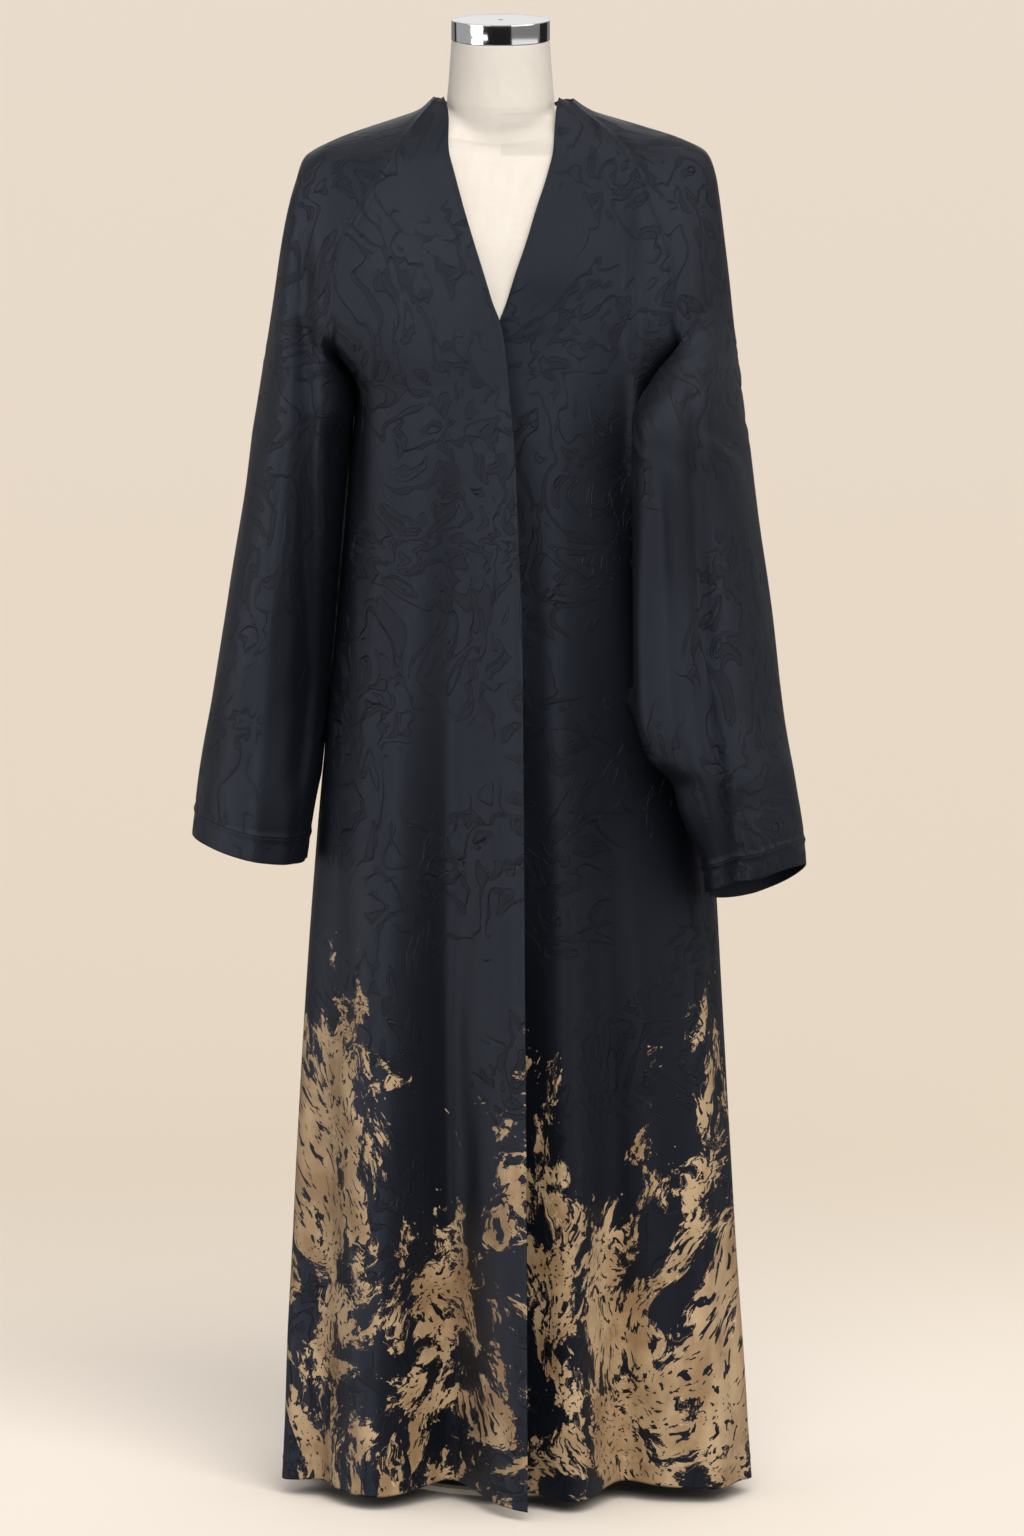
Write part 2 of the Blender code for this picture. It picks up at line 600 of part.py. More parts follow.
def add_turned(name, profile, finish, collection, x=0.0, y=0.0, steps=32):
    """A turned solid from its profile, listed from the top down its outer side."""
    mesh = bpy.data.meshes.new(name)
    points = [(radius, 0.0, height) for radius, height in profile]
    edges = [(k, k + 1) for k in range(len(points) - 1)]
    mesh.from_pydata(points, edges, [])
    mesh.materials.append(finish)
    made = bpy.data.objects.new(name, mesh)
    made.location = (x, y, 0.0)
    collection.objects.link(made)
    turn = made.modifiers.new("Turn", "SCREW")
    turn.steps = turn.render_steps = steps
    turn.use_merge_vertices = True
    turn.merge_threshold = 0.00001
    return made


def add_stand(collection):
    """Cap on the neck, round base with a boss, and the pole between boss and torso."""
    side = CAP_RADIUS - CAP_RIM
    cap = ((0.0, CAP_TOP), (side, CAP_TOP), (CAP_RADIUS, CAP_TOP - CAP_RIM),
           (CAP_RADIUS, CAP_BOTTOM + CAP_RIM), (side, CAP_BOTTOM), (0.0, CAP_BOTTOM))
    add_turned("neck_cap", cap, material("neck_cap", CHROME, 0.08, 1.0), collection, steps=48)
    base = ((0.0, BOSS_HEIGHT), (BOSS_RADIUS, BOSS_HEIGHT),
            (BOSS_RADIUS + BASE_RIM, BASE_HEIGHT + BASE_RIM),
            (BASE_RADIUS - BASE_RIM, BASE_HEIGHT), (BASE_RADIUS, BASE_HEIGHT - BASE_RIM),
            (BASE_RADIUS, 0.0), (0.0, 0.0))
    add_turned("stand_base", base, material("stand_base", PAINTED_STEEL, 0.55), collection,
               STAND_X, STAND_Y, steps=40)
    top, bottom = FORM_BOTTOM - SEAM, BOSS_HEIGHT + SEAM
    pole = ((0.0, top), (POLE_RADIUS, top), (POLE_RADIUS, bottom), (0.0, bottom))
    add_turned("stand_pole", pole, material("stand_pole", PAINTED_STEEL, 0.55), collection,
               STAND_X, STAND_Y, steps=16)


def main():
    for old in list(bpy.data.objects):
        bpy.data.objects.remove(old, do_unlink=True)
    collection = bpy.data.collections.new("abaya_cloak_on_dress_form")
    bpy.context.scene.collection.children.link(collection)
    add_sheet("front_right", front_points("right"), collection)
    add_sheet("front_left", front_points("left"), collection, outwards=False)
    add_sheet("back", back_points(), collection)
    for side in ("right", "left"):
        main_points, band_points = sleeve_points(side)
        outwards = side == "right"
        add_sheet("sleeve_" + side, main_points, collection, outwards)
        add_sheet("cuff_band_" + side, band_points, collection, outwards)
    add_form(collection)
    add_stand(collection)


main()
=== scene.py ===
"""An abaya cloak of navy jacquard satin on a linen dress form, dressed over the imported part.

Metres, +Z up; -Y is the front of the garment and -X its wearer's right.  Every piece of
cloth is a surface of two parameters, across the piece and up it, worked out by the formulas
of its solid, then pressed in or out along its normals by creases and seams.  UV coordinates
are metres of cloth, so woven and printed patterns lie at real size.
"""

import math

import bmesh
import bpy
import numpy as np
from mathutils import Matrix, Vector


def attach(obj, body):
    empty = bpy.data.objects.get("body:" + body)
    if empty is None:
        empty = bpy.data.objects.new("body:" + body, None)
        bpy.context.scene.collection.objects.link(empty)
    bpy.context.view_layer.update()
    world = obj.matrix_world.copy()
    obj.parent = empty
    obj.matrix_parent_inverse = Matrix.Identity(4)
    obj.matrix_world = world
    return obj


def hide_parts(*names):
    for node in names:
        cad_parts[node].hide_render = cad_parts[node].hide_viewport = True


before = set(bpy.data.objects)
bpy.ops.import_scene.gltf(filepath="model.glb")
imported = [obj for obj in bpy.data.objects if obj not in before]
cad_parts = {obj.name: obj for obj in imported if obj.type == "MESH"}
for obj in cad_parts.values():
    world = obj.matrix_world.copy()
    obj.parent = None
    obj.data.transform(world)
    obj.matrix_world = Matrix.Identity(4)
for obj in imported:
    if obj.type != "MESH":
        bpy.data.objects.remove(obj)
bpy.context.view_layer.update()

# ---- Sizes ---------------------------------------------------------------------------

# Cloth in the solids: its thickness, and the gap between two pieces at a seam
WALL = 0.002
SEAM = 0.0003
# Heights of the hem, the underarm and the neck's edge, and how far up the armhole goes
HEM_HEIGHT = 0.018
UNDERARM = 1.17
ARMHOLE_RISE = 0.13
NECK_SEAM_HEIGHT = 1.487
# The neck's edge is shaped from this height up: it rises midway over each shoulder, and
# drops in the middle of the back
NECK_RISE_START = 1.44
SHOULDER_NECK_RISE = 0.001
BACK_NECK_DROP = 0.010
# Height of the cuffs' bands
CUFF_BAND = 0.027
# The skirt widens to the yoke, and the raglan seam leaves the side, by these powers of the
# way up the armhole, which leave the armhole a round bottom.
WIDENING = 1.4
SEAM_LEAVING = 2.2
# Left front under the lap: how far it is drawn in, between which angles, and up to where
LAP = {"inset": 0.0055, "start": 328.0, "full": 348.0, "top": 1.33, "fade": 0.05}
# Hem: a fold's lobe hangs lower than a valley by this share of its depth, which comes in
# over this height above the hem
HEM_DROP = 0.10
HEM_DROP_REACH = 0.30
# Folds grow from their tops to the hem by this power
FOLD_GROWTH = 1.15

# Degrees to either side of a point between which its ring's direction is taken
RING_STEP = 0.5

# Skirt, one ring for each height: half widths to the wearer's right and left, depths to
# the front and the back of the ring's middle.
SKIRT = {
    "height": (0.00, 0.25, 0.50, 0.70, 0.95, 1.10, 1.19, 1.26),
    "right": (0.228, 0.219, 0.208, 0.194, 0.171, 0.158, 0.150, 0.147),
    "left": (0.266, 0.250, 0.236, 0.224, 0.196, 0.176, 0.163, 0.158),
    "front": (0.105, 0.116, 0.127, 0.134, 0.140, 0.139, 0.134, 0.126),
    "back": (0.200, 0.190, 0.176, 0.162, 0.142, 0.130, 0.125, 0.123),
    "square": (2.1, 2.1, 2.2, 2.3, 2.5, 2.9, 3.1, 3.1),
}
# Yoke, the one ring that fronts, sleeves and back share above the underarm.
YOKE = {
    "height": (1.12, 1.19, 1.28, 1.34, 1.386, 1.407, 1.4285, 1.439, 1.45, 1.46, 1.471,
               1.482, 1.492, 1.502),
    "right": (0.264, 0.254, 0.240, 0.231, 0.222, 0.216, 0.209, 0.198, 0.174, 0.144, 0.112,
              0.085, 0.068, 0.061),
    "left": (0.262, 0.255, 0.244, 0.237, 0.232, 0.229, 0.223, 0.216, 0.192, 0.160, 0.124,
             0.093, 0.073, 0.063),
    "front": (0.138, 0.134, 0.124, 0.110, 0.092, 0.083, 0.073, 0.068, 0.061, 0.055, 0.047,
              0.040, 0.033, 0.026),
    "back": (0.128, 0.125, 0.122, 0.117, 0.108, 0.102, 0.094, 0.090, 0.084, 0.079, 0.073,
             0.067, 0.062, 0.058),
    "square": (2.0,) * 14,
}
# Free edges of the two fronts: the V neck, and below it the lap.
FRONT_EDGES = {
    "height": (0.00, 0.50, 0.94, 1.06, 1.13, 1.19, 1.25, 1.274, 1.292, 1.324, 1.355, 1.387,
               1.419, 1.451, 1.472, 1.487),
    "right": (0.026, 0.0245, 0.0225, 0.018, 0.0154, 0.010, 0.004, -0.001, -0.008, -0.018,
              -0.028, -0.038, -0.047, -0.056, -0.0605, -0.066),
    "left": (-0.026, -0.028, -0.030, -0.030, -0.030, -0.026, -0.012, -0.001, 0.006, 0.016,
             0.027, 0.037, 0.048, 0.057, 0.063, 0.067),
}
# Raglan seams, distance of each from the middle.
RAGLAN = {
    "height": (1.17, 1.25, 1.29, 1.34, 1.39, 1.425, 1.45, 1.471, 1.487),
    "right": (0.150, 0.170, 0.177, 0.171, 0.147, 0.127, 0.108, 0.090, 0.073),
    "left": (0.172, 0.181, 0.181, 0.177, 0.160, 0.145, 0.127, 0.102, 0.078),
}
# Skirt folds.  Angles in degrees round the ring, from 0 at the middle of the right front's
# lap, over 90 at the wearer's right, 180 at the back and 270 at the wearer's left, to 360
# under the lap.  Depth is at the hem, outwards where positive; each dies out at its top.
FOLDS = (
    # at hem, at top, width, depth, top
    (-8.0, -6.0, 13.0, 0.078, 1.27),      # the right front's edge
    (14.5, 18.0, 9.0, -0.052, 1.22),      # valley beside it
    (34.0, 38.0, 13.0, 0.032, 1.20),      # ridge down the right front
    (60.0, 60.0, 10.0, -0.014, 0.90),
    (78.0, 78.0, 9.0, 0.010, 0.85),       # the wearer's right side
    (103.0, 103.0, 9.0, -0.018, 0.95),
    (122.0, 122.0, 10.0, 0.022, 1.05),
    (143.0, 143.0, 9.0, -0.024, 1.10),
    (161.0, 161.0, 9.0, 0.024, 1.15),
    (181.0, 180.0, 10.0, -0.026, 1.05),   # the middle of the back
    (201.0, 201.0, 9.0, 0.026, 1.15),
    (221.0, 221.0, 9.0, -0.022, 1.08),
    (241.0, 241.0, 10.0, 0.020, 1.00),
    (260.0, 260.0, 9.0, -0.012, 0.90),
    (281.0, 281.0, 9.0, 0.006, 0.85),     # the wearer's left side
    (304.0, 304.0, 10.0, 0.019, 1.00),    # ridge down the left front
    (329.0, 331.0, 7.5, -0.036, 1.02),    # valley beside the lap
    (344.0, 342.0, 7.5, 0.042, 1.20),     # ridge that the lap lies on
    (366.0, 366.0, 10.0, -0.012, 1.10),   # hollow under the lap
)
# Sleeves below the underarm: distances of the inner and outer edge from the middle, front
# and back of the tube, how far its inner edge leads to the front and its outer edge to the
# back, and how far its inner half alone is tucked back behind the body's side, or drawn
# forward over the front where negative.
SLEEVE_RIGHT = {
    "height": (0.698, 0.75, 0.81, 0.88, 0.96, 1.05, 1.13, 1.17, 1.30),
    "inner": (0.2065, 0.1985, 0.184, 0.171, 0.159, 0.151, 0.150, 0.1525, 0.146),
    "outer": (0.327, 0.321, 0.3125, 0.302, 0.290, 0.275, 0.263, 0.257, 0.238),
    "front": (-0.088, -0.091, -0.096, -0.101, -0.103, -0.104, -0.100, -0.092, -0.086),
    "back": (0.068, 0.069, 0.066, 0.062, 0.062, 0.062, 0.070, 0.082, 0.082),
    "lean": (0.010, 0.010, 0.008, 0.006, 0.006, 0.006, 0.006, 0.008, 0.0),
    "tuck": (0.0, 0.010, 0.045, 0.078, 0.088, 0.084, 0.060, 0.024, 0.0),
}
SLEEVE_LEFT = {
    "height": (0.675, 0.70, 0.76, 0.79, 0.815, 0.87, 0.95, 1.05, 1.12, 1.17, 1.23, 1.30),
    "inner": (0.216, 0.2136, 0.188, 0.180, 0.155, 0.140, 0.139, 0.139, 0.138, 0.138, 0.142,
              0.176),
    "outer": (0.323, 0.321, 0.313, 0.309, 0.305, 0.297, 0.287, 0.273, 0.264, 0.257, 0.250,
              0.242),
    "front": (-0.165, -0.168, -0.176, -0.180, -0.182, -0.178, -0.165, -0.150, -0.140, -0.132,
              -0.122, -0.100),
    "back": (-0.035, -0.035, -0.035, -0.034, -0.032, -0.028, -0.010, 0.024, 0.052, 0.070,
             0.080, 0.082),
    "lean": (0.020, 0.022, 0.028, 0.032, 0.036, 0.044, 0.046, 0.040, 0.030, 0.024, 0.016,
             0.0),
    "tuck": (0.0, 0.0, 0.0, 0.0, 0.0, 0.0, -0.006, -0.030, -0.056, -0.068, -0.064, -0.02),
}
SLEEVES = {"right": SLEEVE_RIGHT, "left": SLEEVE_LEFT}
# Underarm seams, in degrees round the tube from its inner edge towards the front
UNDERARM_SEAM = {"right": 0.0, "left": -25.0}
# Least distance that a sleeve keeps to the body beside it, outer side to outer side
SLEEVE_CLEARANCE = {"right": 0.0035, "left": 0.010}
# Creases down the front of the sleeves: distance from the middle at the shoulder, the elbow
# and the cuff, width, depth, inwards where positive, and the height where each starts.
SLEEVE_CREASES = {
    "right": (
        # shoulder, elbow, cuff, width, depth, start
        (0.207, 0.203, 0.216, 0.010, 0.013, 1.41),
        (0.188, 0.184, 0.216, 0.014, -0.006, 1.28),
        (0.232, 0.240, 0.262, 0.018, -0.005, 1.38),
    ),
    "left": (
        (0.193, 0.216, 0.246, 0.009, 0.012, 1.27),
        (0.160, 0.180, 0.226, 0.014, -0.006, 1.17),
        (0.222, 0.248, 0.278, 0.018, -0.006, 1.38),
    ),
}
# Heights of cuff, elbow and shoulder, how far below its start a crease is at full depth, and
# the share of the way round from the front seam over which the creases grow
CREASE_HEIGHTS = (0.70, 0.88, 1.36)
CREASE_FADE = 0.12
SEAM_CALM = 0.12

# Drape where the left arm draws front and sleeve forward: a step beside the armhole, so far
# from the middle, that dies away outwards from fade to end, and in height between top and
# full and between low and bottom.  The sleeve makes room for it over a distance forward.  On
# the left front it starts and ends at ring angles.
DRAPE = {"start": 0.139, "step": 0.005, "fade": 0.192, "end": 0.252, "depth": 0.024,
         "top": 1.46, "full": 1.29, "low": 1.19, "bottom": 0.98, "forward": 0.07}
DRAPE_ANGLES = {"start": 260.0, "full": 280.0, "end": 345.0}

# Cuffs, heights above or below the level ring at the outer, inner, front and back points,
# which come in over this height above the cuff
CUFF_RISE = {
    "right": {"outer": 0.012, "inner": -0.012, "front": -0.004, "back": 0.004},
    "left": {"outer": 0.014, "inner": -0.010, "front": 0.012, "back": -0.024},
}
CUFF_RISE_REACH = 0.20
# How far the sleeves' edges are drawn to their seams, below the underarm and round the tube
PULL_REACH = 0.06
PULL_WIDTH = {"right": 0.25, "left": 0.12}
# How far round the tube, as a share, and how far below the underarm a sleeve takes to
# stand clear of the body beside its armhole seam
CLEAR_WIDTH = 0.03
CLEAR_REACH = 0.02
# Height below the armhole's top over which the sleeve stops being moved clear of the body
MOVED_FADE = 0.06

# Dress form: its least distance inside the cloth's wall, the height of its lower end, the
# shoulders' distance inside the yoke and where they end at the neck, and a ring's least size
FORM_CLEARANCE = 0.0004
FORM_BOTTOM = 0.76
SHOULDER_INSET = {"right": 0.0080, "left": 0.0088}
SHOULDER_END = 1.475
SHOULDER_END_FADE = 0.025
LEAST_RADIUS = 0.02
# Its half widths, how much further inside the cloth it is, and the neck's radius
FORM = {
    "height": (0.76, 0.86, 0.96, 1.06, 1.14, 1.20, 1.26, 1.32, 1.38, 1.41, 1.44),
    "right": (0.150, 0.152, 0.132, 0.118, 0.128, 0.138, 0.146, 0.156, 0.170, 0.180, 0.188),
    "left": (0.150, 0.152, 0.132, 0.118, 0.128, 0.138, 0.146, 0.156, 0.170, 0.180, 0.190),
}
FORM_INSET = {
    "height": (0.76, 0.96, 1.06, 1.19, 1.26, 1.35, 1.42, 1.44, 1.46, 1.48),
    "front": (0.036, 0.050, 0.046, 0.012, 0.008, 0.006, 0.004, 0.003, 0.000, 0.004),
    "back": (0.036, 0.040, 0.030, 0.014, 0.010, 0.008, 0.006, 0.004, 0.004, 0.006),
}
NECK = {
    "height": (1.43, 1.445, 1.46, 1.475, 1.49, 1.51, 1.53, 1.556),
    "radius": (0.048, 0.052, 0.0555, 0.0570, 0.0562, 0.0545, 0.0530, 0.0512),
}
# Columns of a ring's table, in the order in which on_ring takes them
RING_COLUMNS = ("right", "left", "front", "back", "square")

# ---- What only the dressed cloth has -------------------------------------------------

# Thickness of the cloth, which fills part of its solid's wall
SHELL = 0.0012
# Stretches of rows up the body and up the form: how many between which heights
BODY_ROWS = ((HEM_HEIGHT, 0.05, 14), (0.05, UNDERARM, 170), (UNDERARM, 1.40, 60),
             (1.40, 1.455, 22), (1.455, NECK_SEAM_HEIGHT, 20))
FORM_ROWS = ((FORM_BOTTOM, 1.20, 50), (1.20, 1.42, 50), (1.42, 1.5557, 90))
# Rows up a sleeve: as many in its band as in the stretch of this height above it, then more
# up to the underarm, and from there the body's
CUFF_ROWS = 14
ABOVE_BAND = 0.03
SLEEVE_ROWS = 90
FINE_COLUMNS = {"front_right": 110, "front_left": 110, "back": 150, "sleeve": 110,
                "form": 120}
# How much closer columns stand at a piece's edges than in its middle
EDGE_CROWDING = 0.80
# Seams: a groove where two pieces meet, with a low welt beside it
SEAM_GROOVE = {"depth": 0.0016, "width": 0.0030, "welt": 0.0004, "welt_at": 0.0075,
               "welt_width": 0.0035}
# The band's seam is this share as deep
BAND_GROOVE = 0.7
# Turned free edge: rolls in over its last millimetres
EDGE_ROLL = {"depth": 0.0010, "width": 0.0016}
# Turned hem: the height, depth and width of the trough along its stitching
HEM_TURN = {"height": 0.022, "depth": 0.0005, "width": 0.0022}

# Creases, each from its upper to its lower end as seen from the front or the back: distance
# from the middle and height of both ends, how far its middle bows sideways, its width to
# the viewer's left and right, and how far it presses in where positive.
CREASES = {
    "front_right": (
        # x_top  z_top  x_low   z_low   bow     left   right  depth
        (-0.112, 1.26, -0.132, 0.18,  -0.004,  0.026, 0.020, -0.0150),
        (-0.050, 1.30, -0.054, 0.30,   0.006,  0.032, 0.030,  0.0150),
        (-0.066, 0.70, -0.070, -0.10,  0.003,  0.012, 0.016,  0.0050),
        (-0.022, 1.20, -0.012, 0.30,   0.004,  0.016, 0.010, -0.0030),
        (-0.131, 1.43, -0.121, 1.20,  -0.006,  0.012, 0.018,  0.0040),
        (-0.092, 1.46, -0.060, 1.27,   0.006,  0.016, 0.012,  0.0024),
        (-0.152, 1.27, -0.128, 1.02,  -0.010,  0.007, 0.016,  0.0050),
        (-0.146, 1.20, -0.104, 1.13,   0.003,  0.008, 0.006,  0.0030),
        (-0.160, 1.10, -0.176, 0.62,   0.003,  0.010, 0.018,  0.0040),
        (-0.158, 0.76, -0.188, 0.20,   0.004,  0.018, 0.012, -0.0040),
        (-0.100, 0.40, -0.108, -0.12, -0.003,  0.012, 0.010,  0.0040),
        (-0.034, 0.44, -0.030, -0.14,  0.002,  0.010, 0.014, -0.0030),
    ),
    "front_left": (
        (0.018,  1.21,  0.031, -0.16,  0.003,  0.010, 0.017,  0.0140),
        (0.111,  1.26,  0.114, -0.26,  0.004,  0.0060, 0.024,  0.0220),
        (0.084,  1.22,  0.094, -0.22,  0.003,  0.030, 0.0080, -0.0120),
        (0.130,  1.47,  0.137, 1.00,   0.002,  0.022, 0.0045,  0.0110),
        (0.146,  0.98,  0.196, 0.36,  -0.010,  0.012, 0.020, -0.0060),
        (0.166,  0.86,  0.226, 0.30,  -0.008,  0.014, 0.012,  0.0050),
        (0.058,  1.18,  0.062, 0.40,  -0.004,  0.018, 0.020, -0.0030),
        (0.036,  1.21,  0.104, 1.15,   0.006,  0.012, 0.010,  0.0022),
        (0.080,  1.45,  0.064, 1.28,  -0.005,  0.014, 0.016,  0.0024),
        (0.072,  0.52,  0.070, -0.14,  0.003,  0.010, 0.014,  0.0045),
        (0.150,  0.42,  0.158, -0.12, -0.004,  0.018, 0.008, -0.0045),
        (0.206,  0.60,  0.226, 0.04,   0.003,  0.012, 0.018,  0.0040),
    ),
    "back": (
        (-0.118, 1.38, -0.150, 0.80,  -0.006,  0.016, 0.024,  0.0050),
        (-0.060, 1.34, -0.086, 0.54,   0.005,  0.012, 0.022,  0.0055),
        (-0.018, 1.26, -0.022, 0.36,  -0.004,  0.020, 0.014, -0.0045),
        (0.040,  1.36,  0.060, 0.62,   0.004,  0.022, 0.012,  0.0050),
        (0.096,  1.30,  0.126, 0.46,  -0.005,  0.014, 0.024,  0.0060),
        (0.146,  1.18,  0.178, 0.52,   0.004,  0.012, 0.016, -0.0040),
        (-0.152, 1.16, -0.178, 0.44,   0.004,  0.016, 0.010, -0.0040),
        (-0.112, 1.40, -0.020, 1.37,  -0.004,  0.012, 0.010,  0.0022),
        (0.018,  1.38,  0.120, 1.40,   0.004,  0.010, 0.012,  0.0020),
        (-0.104, 0.58, -0.128, -0.10,  0.004,  0.012, 0.018,  0.0050),
        (0.026,  0.50,  0.034, -0.12, -0.004,  0.016, 0.010, -0.0040),
        (0.166,  0.46,  0.186, -0.08,  0.003,  0.010, 0.016,  0.0040),
    ),
    "sleeve_right": (
        (-0.204, 1.47, -0.211, 0.62,   0.003,  0.017, 0.0040,  0.0200),
        (-0.196, 1.34, -0.200, 0.70,   0.002,  0.0050, 0.012, -0.0050),
        (-0.186, 1.36, -0.160, 1.06,  -0.004,  0.014, 0.0060,  0.0140),
        (-0.176, 1.12, -0.190, 0.76,   0.003,  0.008, 0.012,  0.0060),
        (-0.240, 1.36, -0.276, 0.78,  -0.004,  0.018, 0.022, -0.0040),
        (-0.262, 1.20, -0.298, 0.76,   0.004,  0.012, 0.016,  0.0030),
        (-0.226, 1.10, -0.240, 0.70,  -0.003,  0.010, 0.018,  0.0034),
        (-0.282, 0.94, -0.256, 0.84,   0.003,  0.008, 0.010,  0.0020),
        (-0.160, 1.44, -0.176, 1.30,  -0.004,  0.012, 0.016,  0.0030),
    ),
    "sleeve_left": (
        (0.190,  1.45,  0.240, 0.64,  -0.008,  0.0045, 0.016,  0.0190),
        (0.160,  1.34,  0.172, 0.80,   0.002,  0.014, 0.018, -0.0080),
        (0.176,  1.10,  0.200, 0.86,  -0.002,  0.014, 0.0050, -0.0040),
        (0.112,  0.902, 0.214, 0.884,  0.006,  0.010, 0.012, -0.0110),
        (0.118,  0.880, 0.210, 0.822,  0.010,  0.014, 0.012,  0.0280),
        (0.130,  0.820, 0.214, 0.806,  0.004,  0.007, 0.009, -0.0110),
        (0.190,  0.840, 0.222, 0.72,   0.004,  0.008, 0.012,  0.0060),
        (0.212,  1.40,  0.236, 1.14,   0.003,  0.014, 0.020,  0.0030),
        (0.236,  1.26,  0.270, 0.78,  -0.003,  0.018, 0.016, -0.0035),
        (0.252,  1.08,  0.292, 0.74,   0.003,  0.012, 0.016,  0.0030),
        (0.250,  0.86,  0.284, 0.70,  -0.002,  0.010, 0.012, -0.0030),
    ),
}
# Share of a crease's length over which it fades in, and out again
CREASE_END = 0.28
# Creases are at full depth where over 1 / this of the cloth's unit normal points to the viewer
FACING = 1.6
# Front corners of the neck edge, drawn up and inwards to a point beside the neck: how far
# out and back that reaches, over what distance it grows, and how far it draws
NECK_POINT = {"outer": 0.092, "reach": 0.038, "back": 0.060, "rise": 0.014, "inward": 0.008}
# Slow unevenness of hanging satin: wave lengths across and along, lean, phase and height.
# The phase along is a multiple of the phase across, a sleeve's waves are shifted so that
# they don't match a front's, and all grow over a distance from a seam and a free edge.
RIPPLES = (
    # across, along, lean, phase, height
    (0.061, 0.47, 0.10, 0.3, 0.00045),
    (0.097, 0.83, -0.16, 1.9, 0.00060),
    (0.041, 0.29, 0.05, 4.1, 0.00022),
    (0.150, 0.60, 0.22, 2.6, 0.00060),
)
RIPPLE_BEAT = 2.3
RIPPLE_SHIFT = 0.31
CALM_SEAM = 0.03
CALM_EDGE = 0.02
# Seams of the form's cover, pressed in: angles of the upright ones, depth and width of all,
# and the height of the one round the neck at each of its angles
FORM_SEAMS = {"upright": (0.0, 90.0, 180.0, 270.0, 360.0), "depth": 0.0006,
              "width": 0.0010,
              "neck_angle": (0.0, 50.0, 90.0, 150.0, 180.0, 210.0, 270.0, 310.0, 360.0),
              "neck_height": (1.452, 1.467, 1.482, 1.497, 1.500, 1.497, 1.486, 1.470, 1.452)}
# Stitches on the cuffs' bands: the row of the band's grid that they follow, their spacing,
# length and radius, and at four places along each one its girth and how far it stands up,
# as shares of the radius
STITCH_ROW = 12
STITCH = {"pitch": 0.0036, "length": 0.0029, "radius": 0.00028}
STITCH_PLACES = (-0.5, -0.28, 0.28, 0.5)
STITCH_GIRTH = (0.35, 1.0, 1.0, 0.35)
STITCH_LIFT = (-0.3, 0.4, 0.4, -0.3)
STITCH_SIDES = 6
# Turned outline of the cap from the middle of its top: a slightly sunken plate inside a rim,
# its corners rounded
CAP_BOTTOM, CAP_TOP, CAP_RADIUS = 1.556, 1.578, 0.0520
CAP_PLATE = CAP_TOP - 0.0006
CAP_PROFILE = ((0.0, CAP_PLATE), (0.0040, CAP_PLATE), (CAP_RADIUS - 0.0045, CAP_PLATE),
               (CAP_RADIUS - 0.0025, CAP_TOP), (CAP_RADIUS, CAP_TOP),
               (CAP_RADIUS, CAP_BOTTOM), (0.0, CAP_BOTTOM))
CAP_ROUNDING = 0.0012
CAP_STEPS = 160
# Points closer than this become one where a tube is closed
SAME_POINT = 0.00001

# ---- Looks ---------------------------------------------------------------------------

# Satin: its ground in darker and lighter stretches, 200 mm long, and the woven figure.  The
# ground is the glossier, and the figure's relief is so many metres high, a leaf's face a
# share of what its outline is.
NAVY_DARK = "#0c0e13"
NAVY = "#12151c"
NAVY_FIGURE = "#0b0d12"
NAVY_WAVES = 5.0
SATIN_ROUGH = 0.37
FIGURE_ROUGH = 0.56
FIGURE_RELIEF = 0.0008
LEAF_SHARE = 0.4
# Spacing of the satin's threads across and up, and their share of the relief: real ones lie
# 0.2 mm apart, which is too fine to show, so they are drawn three times as coarse
SATIN_THREADS = (0.0006, 0.0007)
THREAD_SHARE = 0.10
# Bands that a wave texture of scale 1 draws in 2 pi metres
WAVE_BANDS = 20.0
# Vine figure, in waves a metre and in metres of cloth.  Its place drifts and curls, and the
# stems are contours, so many turns of them, of a noise read there.  The leaves, about 12 mm
# long, swell between two levels of a finer noise up to a half width; their edge is soft by
# so much, and a welt lies round them.  A third noise gathers all in clusters between two of
# its levels.
VINE = {"drift_waves": 6.0, "drift": (0.10, 0.13), "curl_waves": 27.0,
        "curl": (0.030, 0.034), "stem_waves": 24.0, "stem_stretch": 1.5, "turns": 4.0,
        "stem": 0.030, "leaf_waves": 84.0, "leaf_stretch": 1.3, "pinch": 0.38,
        "swell": 0.62, "half": 0.52, "edge": 0.05, "welt": -0.06, "welt_width": 0.040,
        "cluster_waves": 6.0, "bare": 0.40, "full": 0.52}
# Gold print: its deeper and paler pigment, which change over 60 mm between two levels of a
# noise, and the bright rim of its islands
GOLD = "#d3b48b"
GOLD_DEEP = "#a8875f"
GOLD_RIM = "#e6cda8"
GOLD_WAVES = 17.0
GOLD_LEVELS = (0.36, 0.64)
GOLD_ROUGH = 0.60
GOLD_METAL = 0.10
# Where the print lies, in waves a metre and in metres of cloth.  Blots, their place drifted
# and torn, and a ragged noise are added and cut off at a level.  That and the raggedness go
# from one value to another between two heights, which tongues shift up and down.  Near its
# top the print is thinned: so much more is cut off there.
PRINT = {"drift_waves": 2.7, "drift": (0.16, 0.22), "tear_waves": 11.0,
         "tear": (0.055, 0.085), "blot_waves": 7.5, "blot_stretch": 2.3, "blot_share": 0.75,
         "ragged_waves": 24.0, "ragged_stretch": 1.3, "ragged_low": 1.15,
         "ragged_high": 0.60, "cut_low": -0.005, "cut_high": 0.11, "low": -0.62,
         "high": 0.14, "tongues": 1.45, "tongue_waves": 5.0, "tongue_stretch": 6.0,
         "ending": 0.46, "top": 0.74, "thinned": 0.40}
# The edge of its islands, measured in the noise's own values: how soft it is, where the rim
# is brightest, and where the thin outline beside them runs and how wide it is
ISLAND = {"edge": 0.004, "rim": 0.006, "outline": -0.016, "outline_width": 0.005}
